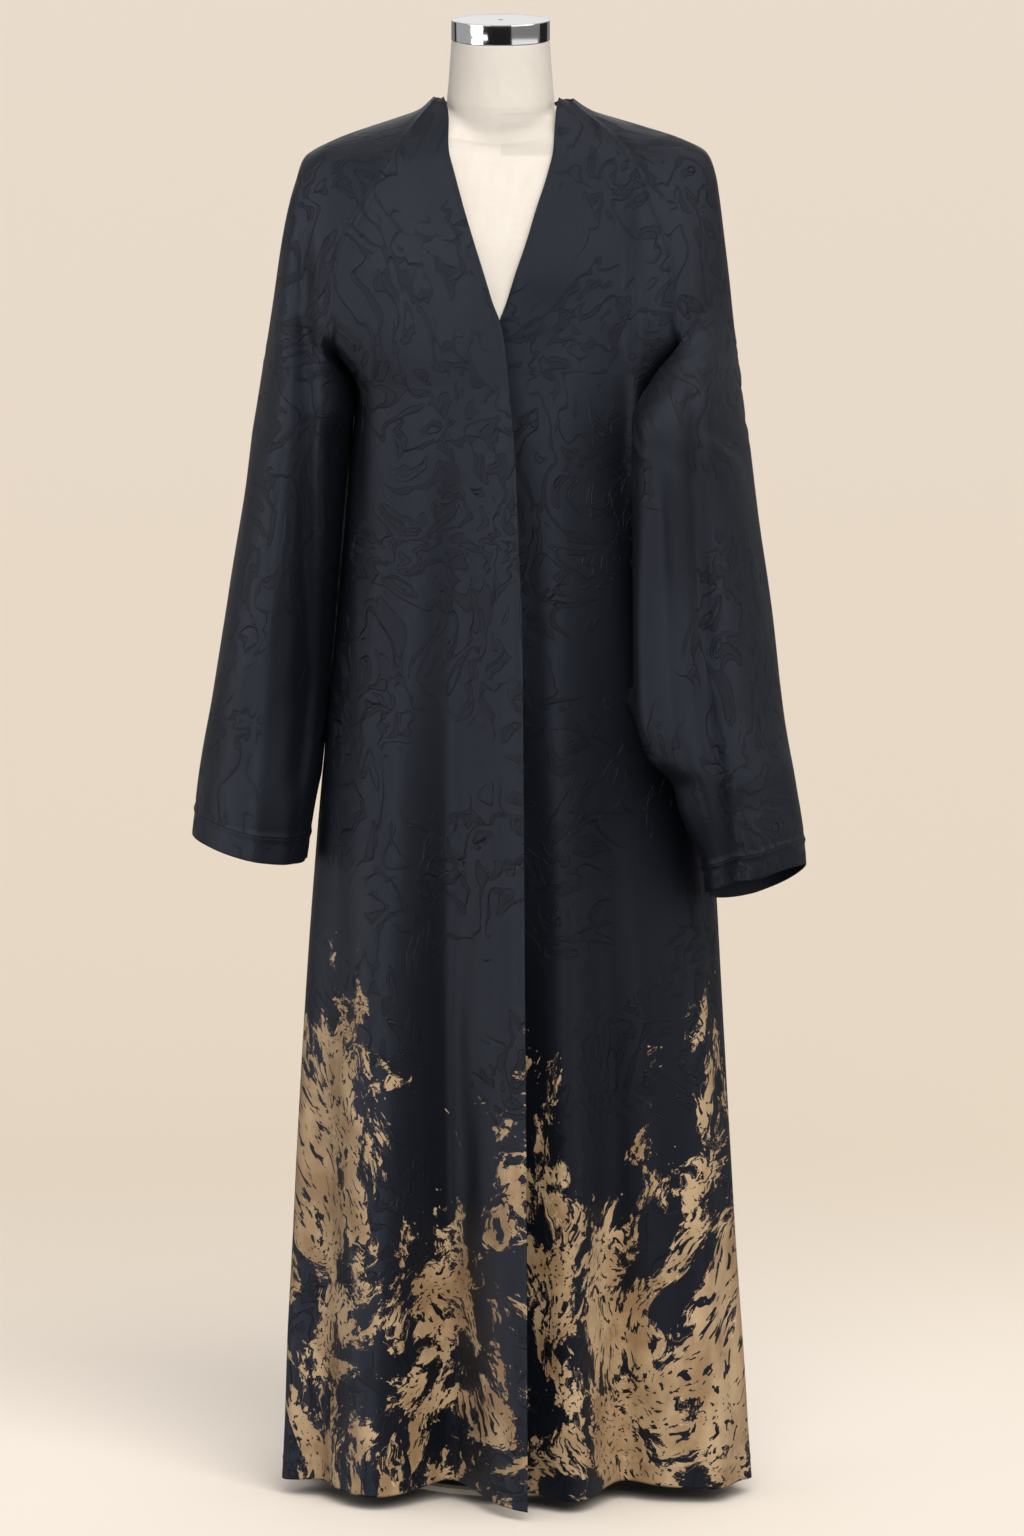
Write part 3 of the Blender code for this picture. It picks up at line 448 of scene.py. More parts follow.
# Pits inside the islands and specks beside them, 7 mm apart: from how far inside the edge to
# how far, and the levels there that a fine noise has to pass for there to be gold
GRAIN_WAVES = 135.0
PITS = ((0.01, 0.12), (0.47, 0.37))
SPECKS = ((-0.14, 0.0), (0.90, 0.545))
# Where each piece's cloth starts on the roll, so that no two show the same stretch.  Fronts
# and back carry the print; the others are cut from so much higher up the roll.
ROLL_START = {"front_right": 0.0, "front_left": 1.7, "back": 3.9, "sleeve_right": 6.2,
              "sleeve_left": 8.1, "cuff_band_right": 9.3, "cuff_band_left": 10.1}
PRINTED = ("front_right", "front_left", "back")
UNPRINTED = 2.0
# Linen: its threads lie 0.5 mm apart and are drawn at 1.1 mm so that they show, with their
# relief in metres.  Fine slubs, 2.4 mm long, lie across it and broad ones, 11 mm wide, run
# up it, and its tone changes between two levels of their sum.
LINEN = "#f6eee3"
LINEN_SHADE = "#efe4d5"
LINEN_THREADS = (0.0011, 0.0012)
LINEN_RELIEF = 0.00012
FINE_SLUBS = {"waves": 420.0, "stretch": 0.12}
BROAD_SLUBS = {"waves": 90.0, "stretch": 3.0}
SLUB_LEVELS = (0.40, 1.45)
# Chrome: waves a metre of the rub marks, drawn out round the cap, one every 1.1 mm up it
CHROME = "#e6e7e8"
CHROME_RUBBED = "#d9dadb"
RUB_WAVES = (6.0, 6.0, 900.0)
# Powder coat: its peel, 1.4 mm across and this many metres high, and its slow change of tone
COAT = "#dfd3c1"
COAT_SHADE = "#d5c7b2"
PEEL_WAVES = 700.0
PEEL_RELIEF = 0.00008
COAT_WAVES = 18.0
# Sewing yarn: light and dark of its twist, 0.4 mm long
YARN = "#333847"
YARN_SHADE = "#14161d"
TWIST_WAVES = 2600.0

# ---- Set -----------------------------------------------------------------------------

# Picture: its rows, and how much of the garment's plane each one shows
PICTURE_ROWS = 1536
ROW_HEIGHT = 0.00106
# Camera: how far away, how high above level, where it aims, its film, the height of its view
# there, and how far it sees
CAMERA = {"distance": 22.0, "elevation": 9.0, "target": (0.012, 0.0, 0.779), "film": 36.0,
          "seen_height": PICTURE_ROWS * ROW_HEIGHT, "sight": 200.0}
# Paper, its colour with painted light: brightest at the garment's feet, dimmer behind it
# and a little lighter far off, and how far away each lies
PAPER_NEAR_PAINTED_LIGHT = "#f8eee2"
PAPER_MIDDLE_PAINTED_SHADE = "#dfd1bf"
PAPER_FAR_PAINTED_LIGHT = "#e2d6c8"
PAPER_AT = (0.2, 2.2, 14.0)
FLOOR_RADIUS = 60.0
FLOOR_STEPS = 96
FLOOR_DROP = 0.0005
# Key light: one large soft source, by its bearing from the front, height, strength and size
# in degrees, and how far off the lamp stands, which changes nothing of a sun's light
KEY = {"bearing": 14.0, "height": 40.0, "strength": 2.3, "size": 46.0,
       "colour": "#fffdfa", "away": 6.0}
# Surround: its colour, and its brightness just below the horizon, at it and overhead
SURROUND = "#fffdfb"
SURROUND_DIP = -0.10
SURROUND_LOW = 0.22
SURROUND_LEVEL = 0.28
SURROUND_TOP = 0.78
# Cards round the set that only polished and satin surfaces mirror: bearings from the front
# between which each stands, the heights of its lower and upper edge, and its brightness
CARDS = ((-137.0, -127.0, 0.0, 1.7, 0.01), (-126.0, -72.0, 0.0, 1.7, 0.42),
         (-67.0, -31.0, 0.92, 1.15, 3.00), (-72.0, -43.0, 0.0, 0.92, 8.50),
         (-72.0, -43.0, 1.15, 1.7, 8.50), (-43.0, -31.0, 0.0, 0.92, 0.005),
         (-43.0, -31.0, 1.15, 1.7, 0.005), (-31.0, 25.0, 0.0, 1.7, 0.005),
         (27.0, 98.0, 0.95, 1.7, 0.22), (27.0, 98.0, 0.0, 0.95, 1.00),
         (104.0, 141.0, 0.0, 1.7, 0.01), (-84.0, -26.0, 1.8, 4.4, 1.30),
         (26.0, 84.0, 1.8, 4.4, 3.80), (-26.0, 26.0, 2.3, 4.6, 0.40),
         (150.0, 210.0, 1.6, 3.4, 0.90))
CARD_DISTANCE = 3.4
CARD_STEPS = 8


# ---- Shapes, as in the solids --------------------------------------------------------

def smooth(table, column, height):
    """Cubic curve through a table's column, with slopes that never overshoot its rows."""
    at = np.asarray(table["height"], float)
    value = np.asarray(table[column], float)
    step = np.diff(at)
    rise = np.diff(value) / step
    slope = np.zeros_like(value)
    same = rise[:-1] * rise[1:] > 0
    slope[1:-1][same] = 2 * rise[:-1][same] * rise[1:][same] / (rise[:-1] + rise[1:])[same]
    slope[0], slope[-1] = rise[0], rise[-1]
    height = np.clip(np.asarray(height, float), at[0], at[-1])
    k = np.clip(np.searchsorted(at, height) - 1, 0, len(step) - 1)
    t = (height - at[k]) / step[k]
    return (value[k] * (1 + 2 * t) * (1 - t) ** 2 + value[k + 1] * t * t * (3 - 2 * t)
            + step[k] * (slope[k] * t * (1 - t) ** 2 - slope[k + 1] * t * t * (1 - t)))


def ease(t):
    """0 to 1 with level ends."""
    t = np.clip(t, 0.0, 1.0)
    return t * t * (3 - 2 * t)


def joined(height):
    """How far the sleeve has joined the yoke: 0 below the underarm, 1 above the armhole."""
    return ease((height - UNDERARM) / ARMHOLE_RISE)


def widened(height):
    """How far the body's ring has widened to the yoke's: later than the sleeve joins."""
    return joined(height) ** WIDENING


def ring_size(height, column):
    """Body size at a height: the skirt's, turning into the yoke's up the armhole."""
    share = widened(height)
    return (1 - share) * smooth(SKIRT, column, height) + share * smooth(YOKE, column, height)


def on_ring(angle, right, left, front, back, square=2.0):
    """Point of an egg-shaped ring: four quarter ellipses that meet level, their corners
    filled out where square is over 2."""
    across, along = np.sin(np.radians(angle)), np.cos(np.radians(angle))
    fill = (np.abs(across) ** square + np.abs(along) ** square) ** (-1 / square)
    x = -np.where(across > 0, right, left) * across * fill
    y = -np.where(along > 0, front, back) * along * fill
    return x, y


def fold_depth(angle, height):
    """Sum of the folds: each a bell across, growing evenly from its top to the hem."""
    depth = np.zeros(np.broadcast(angle, height).shape)
    for at_hem, at_top, width, at_depth, top in FOLDS:
        rise = np.clip(height / top, 0.0, 1.0)
        middle = at_hem + (at_top - at_hem) * rise
        across = np.exp(-(((angle - middle) / width) ** 2))
        depth += at_depth * (1 - rise) ** FOLD_GROWTH * across
    return depth


def drape_depth(x, height):
    """How far the drape beside the left armhole stands forward: a soft step across, fading
    outwards, that grows down to the underarm and dies away below it."""
    across = 1 / (1 + np.exp(-(x - DRAPE["start"]) / DRAPE["step"]))
    across = across * ease((DRAPE["end"] - x) / (DRAPE["end"] - DRAPE["fade"]))
    above = ease((DRAPE["top"] - height) / (DRAPE["top"] - DRAPE["full"]))
    below = ease((height - DRAPE["bottom"]) / (DRAPE["low"] - DRAPE["bottom"]))
    return DRAPE["depth"] * across * above * below


def body(angle, height):
    """Outer side of fronts and back: the ring, its folds pushed out square to it, the left
    front drawn in under the lap and forward by the drape, the hem lower at its lobes."""
    sizes = [ring_size(height, column) for column in RING_COLUMNS]
    x, y = on_ring(angle, *sizes)
    ahead = on_ring(angle + RING_STEP, *sizes)
    behind = on_ring(angle - RING_STEP, *sizes)
    run_x, run_y = ahead[0] - behind[0], ahead[1] - behind[1]
    length = np.hypot(run_x, run_y)
    lap = (ease((angle - LAP["start"]) / (LAP["full"] - LAP["start"]))
           * ease((LAP["top"] - height) / LAP["fade"]))
    out = fold_depth(angle, height) - LAP["inset"] * lap
    x = x - out * run_y / length
    y = y + out * run_x / length
    onset = (angle - DRAPE_ANGLES["start"]) / (DRAPE_ANGLES["full"] - DRAPE_ANGLES["start"])
    y = y - drape_depth(x, height) * ease(onset) * (angle < DRAPE_ANGLES["end"])
    drop = -HEM_DROP * fold_depth(angle, np.zeros_like(height))
    z = height + drop * ease(1 - (height - HEM_HEIGHT) / HEM_DROP_REACH)
    return np.stack(np.broadcast_arrays(x, y, z), axis=-1)


def arc_of(distance, width, square=2.0):
    """Angle from the middle, in degrees, where a ring is a distance from the middle."""
    share = np.clip(np.abs(distance) / width, 0.0, 0.9999) ** square
    return np.sign(distance) * np.degrees(np.arctan((share / (1 - share)) ** (1 / square)))


def side_angle(side, away, back=False):
    """Ring angle on a side, away degrees from the middle of the front or the back."""
    if side == "right":
        return 180.0 - away if back else away
    return 180.0 + away if back else 360.0 - away


def raglan_angle(side, height, back=False, yoke=False):
    """Ring angle of a raglan seam, on the body's ring or on the yoke's own."""
    distance = smooth(RAGLAN, side, height)
    if yoke:
        return side_angle(side, arc_of(distance, smooth(YOKE, side, height)), back)
    square = ring_size(height, "square")
    return side_angle(side, arc_of(distance, ring_size(height, side), square), back)


def armhole_angle(side, height, back=False):
    """Ring angle of the outer edge of a front or the back: side seam, then raglan seam,
    which leaves the side early so that the armhole has a round bottom."""
    seam = side_angle(side, 90.0)
    share = 1 - (1 - joined(height)) ** SEAM_LEAVING
    return seam + (raglan_angle(side, height, back) - seam) * share


def lap_angle(side, height):
    """Ring angle of the free edge of a front."""
    x = smooth(FRONT_EDGES, side, height)
    width = np.where(x < 0, ring_size(height, "right"), ring_size(height, "left"))
    away = -arc_of(x, width, ring_size(height, "square"))
    return away + 360.0 if side == "left" else away


def around_tube(side, turn):
    """Angle round a sleeve's tube, in radians from its inner edge towards its front."""
    return np.radians(360.0 * turn + UNDERARM_SEAM[side])


def sleeve_tube(side, turn, height):
    """Sleeve below the underarm: an ellipse at each height, leaning, its inner half tucked
    backwards or forwards by the square of how near it is to the inner edge."""
    inner, outer, front, back, lean, tuck = (
        smooth(SLEEVES[side], column, height)
        for column in ("inner", "outer", "front", "back", "lean", "tuck"))
    around = around_tube(side, turn)
    distance = (inner + outer) / 2 - (outer - inner) / 2 * np.cos(around)
    y = (front + back) / 2 - (back - front) / 2 * np.sin(around) - lean * np.cos(around)
    y = y + tuck * ((1 + np.cos(around)) / 2) ** 2
    x = -distance if side == "right" else distance
    return clear_of_body(side, x, y, height, SLEEVE_CLEARANCE[side])


def clear_of_body(side, x, y, height, clearance):
    """The tube's points, moved straight out from the middle wherever the body, its folds
    and the clearance would reach past them."""
    width = ring_size(height, side)
    depth = np.where(y < 0, ring_size(height, "front"), ring_size(height, "back"))
    square = ring_size(height, "square")
    away = np.degrees(np.arctan2(np.abs(x) / width, np.abs(y) / depth))
    angle = np.where(y < 0, side_angle(side, away), side_angle(side, away, True))
    margin = clearance + np.maximum(fold_depth(angle, height), 0.0)
    drape = drape_depth(x, height) * ease(-y / DRAPE["forward"])
    margin = margin + drape * (1 - joined(height))
    share = ((np.abs(x) / (width + margin)) ** square
             + (np.abs(y) / (depth + margin)) ** square) ** (1 / square)
    scale = np.maximum(1.0, 1.0 / share)
    return x * scale, y * scale


def sleeve_yoke(side, turn, height):
    """Sleeve above the underarm: the yoke's ring from the front raglan seam to the back,
    rising to the neck's side."""
    start = raglan_angle(side, height, yoke=True)
    stop = raglan_angle(side, height, back=True, yoke=True)
    neck = ease((height - NECK_RISE_START) / (NECK_SEAM_HEIGHT - NECK_RISE_START))
    level = height + SHOULDER_NECK_RISE * neck * np.sin(np.pi * turn) ** 2
    sizes = [smooth(YOKE, column, level) for column in RING_COLUMNS]
    return *on_ring(start + (stop - start) * turn, *sizes), level


def crease_depth(side, distance, height):
    """Depth of the creases down the front of a sleeve, inwards where positive."""
    depth = np.zeros(np.broadcast(distance, height).shape)
    for shoulder, elbow, cuff, width, at_depth, start in SLEEVE_CREASES[side]:
        middle = np.interp(height, CREASE_HEIGHTS, (cuff, elbow, shoulder))
        across = np.exp(-(((distance - middle) / width) ** 2))
        depth += at_depth * across * ease((start - height) / CREASE_FADE)
    return depth


def cuff_level(side, around):
    """How far the cuff's edge stands above or below level, round the tube."""
    rise = CUFF_RISE[side]
    across, along = -np.cos(around), np.sin(around)
    return (np.where(across > 0, rise["outer"] * across, -rise["inner"] * across)
            + np.where(along > 0, rise["front"] * along, -rise["back"] * along))


def loose_sleeve(side, turn, height):
    """Tube and yoke joined up the armhole, with creases, drape, cuff slant and neck rise."""
    share = joined(height)
    around = around_tube(side, turn)
    tube_x, tube_y = sleeve_tube(side, turn, height)
    yoke_x, yoke_y, level = sleeve_yoke(side, turn, height)
    x = (1 - share) * tube_x + share * yoke_x
    y = (1 - share) * tube_y + share * yoke_y
    frontal = np.clip((1 - share) * np.sin(around) + share * np.cos(np.pi * turn), 0.0, 1.0)
    crease = crease_depth(side, np.abs(x), height) * ease(turn / SEAM_CALM)
    y = y + (crease - drape_depth(x, height)) * frontal
    slant = ease(1 - (height - SLEEVES[side]["height"][0]) / CUFF_RISE_REACH)
    z = level + cuff_level(side, around) * slant
    return np.stack(np.broadcast_arrays(x, y, z), axis=-1)


def sleeve(side, turn, height):
    """Outer side of a raglan sleeve, from one edge of its seams over the front, outside and
    back to the other.  Both edges are drawn to the seam that the body gives them, a pull
    that dies away below the underarm, and the rest is moved clear of the body."""
    points = loose_sleeve(side, turn, height)
    level = np.maximum(height, UNDERARM)
    hold = ease(1 - (UNDERARM - height) / PULL_REACH)
    for edge, back in ((0.0, False), (1.0, True)):
        seam = body(armhole_angle(side, level, back), level)
        miss = seam - loose_sleeve(side, np.full_like(level, edge), level)
        near = np.clip(1 - np.abs(turn - edge) / PULL_WIDTH[side], 0.0, 1.0) ** 2
        points = points + miss * (near * hold)[..., None]
    below = ease((UNDERARM - height) / CLEAR_REACH)
    aside = ease(np.minimum(turn, 1 - turn) / CLEAR_WIDTH)
    share = np.maximum(below, aside * (1 - joined(height)))
    clearance = 2 * SEAM + SLEEVE_CLEARANCE[side] * share
    x, y = clear_of_body(side, points[..., 0], points[..., 1], height, clearance)
    left = ease((UNDERARM + ARMHOLE_RISE - height) / MOVED_FADE)
    moved = np.maximum(1 - joined(height), aside) * left
    points[..., 0] += (x - points[..., 0]) * moved
    points[..., 1] += (y - points[..., 1]) * moved
    return points


def grid(across, up):
    """Every pair of the two lists, as two arrays with a row for each height."""
    return np.meshgrid(np.asarray(across, float), np.asarray(up, float))


def rounded_join(first, second, sharpness=14):
    """The larger of two radii, blended where they are alike."""
    return (first ** sharpness + second ** sharpness) ** (1 / sharpness)


def quads(rows, columns, closed=False):
    """Faces of a grid, turned so that they face outwards."""
    row, column = np.meshgrid(np.arange(rows - 1), np.arange(columns - (not closed)),
                              indexing="ij")
    after = (column + 1) % columns
    corners = (row * columns + column, (row + 1) * columns + column,
               (row + 1) * columns + after, row * columns + after)
    return np.stack([corner.ravel() for corner in corners], axis=1)


# ---- Surfaces ------------------------------------------------------------------------

def rows_of(stretches):
    """Heights of the rows: each stretch is divided evenly."""
    parts = [np.linspace(low, high, count, endpoint=False) for low, high, count in stretches]
    return np.append(np.concatenate(parts), stretches[-1][1])


def crowded(count):
    """Shares across a piece: t - k sin(2 pi t) / 2 pi, which crowds towards both edges."""
    t = np.linspace(0.0, 1.0, count + 1)
    return t - EDGE_CROWDING * np.sin(2 * np.pi * t) / (2 * np.pi)


def run_across(points):
    """Distance along each row from its first point."""
    steps = np.linalg.norm(np.diff(points, axis=1), axis=-1)
    return np.concatenate([np.zeros((len(points), 1)), np.cumsum(steps, axis=1)], axis=1)


def run_up(points, start):
    """Distance up the cloth, one value for each row: the columns' mean, from a start."""
    steps = np.linalg.norm(np.diff(points, axis=0), axis=-1).mean(axis=1)
    return (start + np.concatenate([[0.0], np.cumsum(steps)]))[:, None]


def normals(points, around=False):
    """Unit normals of a grid: the cross product of its steps across and up.  Around a tube
    the first and the last column are one."""
    if around:
        wide = np.concatenate([points[:, -2:-1], points, points[:, 1:2]], axis=1)
        across = (wide[:, 2:] - wide[:, :-2]) / 2
    else:
        across = np.gradient(points, axis=1)
    normal = np.cross(across, np.gradient(points, axis=0))
    return normal / np.maximum(np.linalg.norm(normal, axis=-1, keepdims=True), 1e-12)


def pressed(points, outward, depth):
    """The grid moved inwards along its normals by a depth for each point."""
    return points - outward * depth[..., None]


def groove(distance, size=SEAM_GROOVE):
    """A seam's section: a bell-shaped groove and a low welt beside it."""
    cut = size["depth"] * np.exp(-((distance / size["width"]) ** 2))
    away = (distance - size["welt_at"]) / size["welt_width"]
    return cut - size["welt"] * np.exp(-(away ** 2))


def ripples(u, v):
    """Sum of long slanting waves across the cloth, each modulated along its length."""
    depth = np.zeros(np.broadcast(u, v).shape)
    for across, along, lean, phase, height in RIPPLES:
        wave = np.sin(2 * np.pi * (u + lean * v) / across + phase)
        depth += height * wave * np.sin(2 * np.pi * v / along + RIPPLE_BEAT * phase)
    return depth


def facing(outward, back=False):
    """How far the cloth faces the front or, where asked, the back: FACING times the part of
    its unit normal that points that way, from 0 to 1."""
    return np.clip((FACING if back else -FACING) * outward[..., 1], 0.0, 1.0)


def creases(name, points, faced):
    """Sum of the piece's creases.  Each is a bell across a bowed line between its two ends,
    steeper on one side, faded in and out along it, where the cloth faces the viewer."""
    depth = np.zeros(points.shape[:2])
    x, z = points[..., 0], points[..., 2]
    for x_top, z_top, x_low, z_low, bow, left, right, at_depth in CREASES[name]:
        run_x, run_z = x_low - x_top, z_low - z_top
        length = math.hypot(run_x, run_z)
        along = ((x - x_top) * run_x + (z - z_top) * run_z) / length ** 2
        off = ((x - x_top) * run_z - (z - z_top) * run_x) / -length
        off = off - bow * 4 * along * (1 - along)
        fade = ease(along / CREASE_END) * ease((1 - along) / CREASE_END)
        depth += at_depth * fade * np.exp(-((off / np.where(off > 0, right, left)) ** 2))
    return depth * faced


def pointed(points):
    """The grid with the neck edge's corners drawn to a point, by a share that grows towards
    the neck and up its base."""
    x, y, z = np.moveaxis(points, -1, 0)
    near = (ease((NECK_POINT["outer"] - np.abs(x)) / NECK_POINT["reach"])
            * ease((z - NECK_RISE_START) / (NECK_SEAM_HEIGHT - NECK_RISE_START))
            * ease((NECK_POINT["back"] - y) / NECK_POINT["back"]))
    return np.stack((x - np.sign(x) * NECK_POINT["inward"] * near, y,
                     z + NECK_POINT["rise"] * near), axis=-1)


def front_cloth(side):
    """A front: free edge, fold by fold to the side seam, and up to the neck."""
    name = "front_" + side
    across, up = grid(crowded(FINE_COLUMNS[name]), rows_of(BODY_ROWS))
    free, outer = lap_angle(side, up), armhole_angle(side, up)
    points = pointed(body(free + (outer - free) * across, up))
    u, v = run_across(points), run_up(points, HEM_HEIGHT)
    outward = normals(points) * (1 if side == "right" else -1)
    from_seam = u[:, -1:] - u
    depth = groove(from_seam) + EDGE_ROLL["depth"] * np.exp(-((u / EDGE_ROLL["width"]) ** 2))
    depth += hem_turn(v) + ripples(u, v) * ease(from_seam / CALM_SEAM) * ease(u / CALM_EDGE)
    depth += creases(name, points, facing(outward))
    return pressed(points, outward, depth), u, v


def back_cloth():
    """The back, from the wearer's right to the left, its neck edge curved down."""
    across, up = grid(crowded(FINE_COLUMNS["back"]), rows_of(BODY_ROWS))
    start, stop = armhole_angle("right", up, True), armhole_angle("left", up, True)
    neck = ease((up - NECK_RISE_START) / (NECK_SEAM_HEIGHT - NECK_RISE_START))
    lowered = up - BACK_NECK_DROP * neck * np.sin(np.pi * across) ** 2
    points = pointed(body(start + (stop - start) * across, lowered))
    u, v = run_across(points), run_up(points, HEM_HEIGHT)
    outward = normals(points)
    near = np.minimum(u, u[:, -1:] - u)
    depth = groove(near) + hem_turn(v) + ripples(u, v) * ease(near / CALM_SEAM)
    depth += creases("back", points, facing(outward, back=True))
    return pressed(points, outward, depth), u - u.mean(axis=1, keepdims=True), v


def hem_turn(v):
    """The line where the turned hem is stitched, a shallow trough round the skirt."""
    away = (v - HEM_HEIGHT - HEM_TURN["height"]) / HEM_TURN["width"]
    return HEM_TURN["depth"] * np.exp(-(away ** 2))


def sleeve_cloth(side):
    """A sleeve and its cuff band as one grid, split at the band's seam."""
    cuff = SLEEVES[side]["height"][0]
    band_top = cuff + CUFF_BAND
    above = band_top + ABOVE_BAND
    stretches = ((cuff, band_top, CUFF_ROWS), (band_top, above, CUFF_ROWS),
                 (above, UNDERARM, SLEEVE_ROWS)) + BODY_ROWS[2:]
    turns, up = grid(crowded(FINE_COLUMNS["sleeve"]), rows_of(stretches))
    points = pointed(sleeve(side, turns, up))
    u, v = run_across(points), run_up(points, 0.0)
    outward = normals(points) * (1 if side == "right" else -1)
    near = np.minimum(u, u[:, -1:] - u)
    depth = groove(near) + groove(np.abs(v - v[CUFF_ROWS])) * BAND_GROOVE
    depth += ripples(u + RIPPLE_SHIFT, v) * ease(near / CALM_SEAM)
    depth += creases("sleeve_" + side, points, facing(outward))
    cloth = pressed(points, outward, depth), u - u.mean(axis=1, keepdims=True), v + cuff
    return (tuple(part[CUFF_ROWS:] for part in cloth),
            tuple(part[:CUFF_ROWS + 1] for part in cloth))


def dress_form():
    """Torso and neck: an egg-shaped ring inside the garment's and the neck's circle, with
    the cover's seams as fine grooves down the front, sides and back and round the neck."""
    around = np.linspace(0.0, 360.0, FINE_COLUMNS["form"] + 1)
    angle, up = grid(around, rows_of(FORM_ROWS))
    sizes = []
    ending = 1 - ease((up - SHOULDER_END) / SHOULDER_END_FADE)
    for column in ("right", "left"):
        yoke = (smooth(YOKE, column, up) - SHOULDER_INSET[column]) * ending
        sizes.append(np.minimum(yoke, smooth(FORM, column, up)))
    for column in ("front", "back"):
        sizes.append(ring_size(up, column) - smooth(FORM_INSET, column, up) - WALL
                     - FORM_CLEARANCE)
    x, y = on_ring(angle, *[np.maximum(size, LEAST_RADIUS) for size in sizes])
    radius = np.hypot(x, y)
    scale = rounded_join(radius, smooth(NECK, "radius", up)) / radius
    points = np.stack((x * scale, y * scale, up), axis=-1)
    outward = normals(points, around=True)
    u, v = run_across(points), run_up(points, FORM_BOTTOM)
    depth = np.zeros_like(up)
    for seam in FORM_SEAMS["upright"]:
        off = np.radians(angle - seam) * radius
        depth += FORM_SEAMS["depth"] * np.exp(-((off / FORM_SEAMS["width"]) ** 2))
    neck_line = np.interp(angle, FORM_SEAMS["neck_angle"], FORM_SEAMS["neck_height"])
    off = (up - neck_line) / FORM_SEAMS["width"]
    depth += FORM_SEAMS["depth"] * np.exp(-(off ** 2))
    return pressed(points, outward, depth), u, v


# ---- Meshes --------------------------------------------------------------------------

def add_mesh(name, points, faces, finish, u=None, v=None):
    """A smooth mesh from points and faces, with metres of cloth as its UV coordinates where
    they are given."""
    mesh = bpy.data.meshes.new(name)
    mesh.from_pydata(points.reshape(-1, 3).tolist(), [], [list(map(int, f)) for f in faces])
    if u is not None:
        corner = np.empty(len(mesh.loops), np.int64)
        mesh.loops.foreach_get("vertex_index", corner)
        place = np.stack(np.broadcast_arrays(u, v), axis=-1).reshape(-1, 2)[corner]
        mesh.uv_layers.new(name="cloth").data.foreach_set("uv", place.ravel())
    mesh.shade_smooth()
    for material in finish:
        mesh.materials.append(material)
    made = bpy.data.objects.new(name, mesh)
    bpy.context.scene.collection.objects.link(made)
    return made


def add_cloth(name, cloth, finish, node, outwards, u_start):
    """A cloth piece as a closed thin shell whose wrong side is the second finish."""
    points, u, v = cloth
    faces = quads(*points.shape[:2])
    if not outwards:
        faces = faces[:, ::-1]
    made = add_mesh(name, points, faces, finish, u + u_start, v)
    wall = made.modifiers.new("Wall", "SOLIDIFY")
    wall.thickness = SHELL
    wall.offset = -1.0
    wall.material_offset = 1
    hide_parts(node)
    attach(made, "root")
    return made


def stitches(name, line, outward, finish):
    """Stitches along a line of points: each a spindle that lies on the cloth and dips in at
    its ends, a ring of sides at each of its places swept round the line."""
    steps = np.linalg.norm(np.diff(line, axis=0), axis=1)
    run = np.concatenate([[0.0], np.cumsum(steps)])
    at = np.arange(STITCH["pitch"] / 2, run[-1] - STITCH["pitch"] / 2, STITCH["pitch"])
    ends = at[:, None] + np.array(STITCH_PLACES) * STITCH["length"]
    middle = np.stack([np.interp(ends, run, line[:, k]) for k in range(3)], axis=-1)
    up = np.stack([np.interp(at, run, outward[:, k]) for k in range(3)], axis=-1)
    up /= np.linalg.norm(up, axis=1, keepdims=True)
    along = middle[:, 3] - middle[:, 0]
    along /= np.linalg.norm(along, axis=1, keepdims=True)
    aside = np.cross(along, up)
    turn = np.arange(STITCH_SIDES) * np.pi / (STITCH_SIDES / 2)
    ring = (np.cos(turn)[:, None, None] * up + np.sin(turn)[:, None, None] * aside)
    girth = np.array(STITCH_GIRTH) * STITCH["radius"]
    lift = np.array(STITCH_LIFT) * STITCH["radius"]
    points = (middle[:, :, None] + up[:, None, None] * lift[None, :, None, None]
              + ring.transpose(1, 0, 2)[:, None] * girth[None, :, None, None])
    places, sides = len(STITCH_PLACES), STITCH_SIDES
    spindle = [(r * sides + k, r * sides + (k + 1) % sides,
                (r + 1) * sides + (k + 1) % sides, (r + 1) * sides + k)
               for r in range(places - 1) for k in range(sides)]
    spindle.append(tuple(reversed(range(sides))))
    spindle.append(tuple((places - 1) * sides + k for k in range(sides)))
    faces = [[places * sides * stitch + k for k in face]
             for stitch in range(len(at)) for face in spindle]
    made = add_mesh(name, points, faces, (finish,))
    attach(made, "root")
    return made


def close_tube(made):
    """Joins a tube's first and last column and closes both its ends."""
    work = bmesh.new()
    work.from_mesh(made.data)
    work.verts.ensure_lookup_table()
    bmesh.ops.remove_doubles(work, verts=work.verts, dist=SAME_POINT)
    rims = [edge for edge in work.edges if edge.is_boundary]
    bmesh.ops.holes_fill(work, edges=rims, sides=0)
    bmesh.ops.recalc_face_normals(work, faces=work.faces)
    work.to_mesh(made.data)
    work.free()


def rounded_profile(outline, radius, steps=5):
    """The outline of a turned piece with its corners rounded by quarter turns: each corner
    is replaced by points of the curve (1-t)^2 a + 2t(1-t) c + t^2 b."""
    outline = np.array(outline)
    t = np.linspace(0.0, 1.0, steps)[:, None]
    made = [outline[:1]]
    for before, corner, after in zip(outline, outline[1:], outline[2:]):
        a = corner + (before - corner) / np.linalg.norm(before - corner) * radius
        b = corner + (after - corner) / np.linalg.norm(after - corner) * radius
        made.append((1 - t) ** 2 * a + 2 * t * (1 - t) * corner + t ** 2 * b)
    return np.concatenate(made + [outline[-1:]])


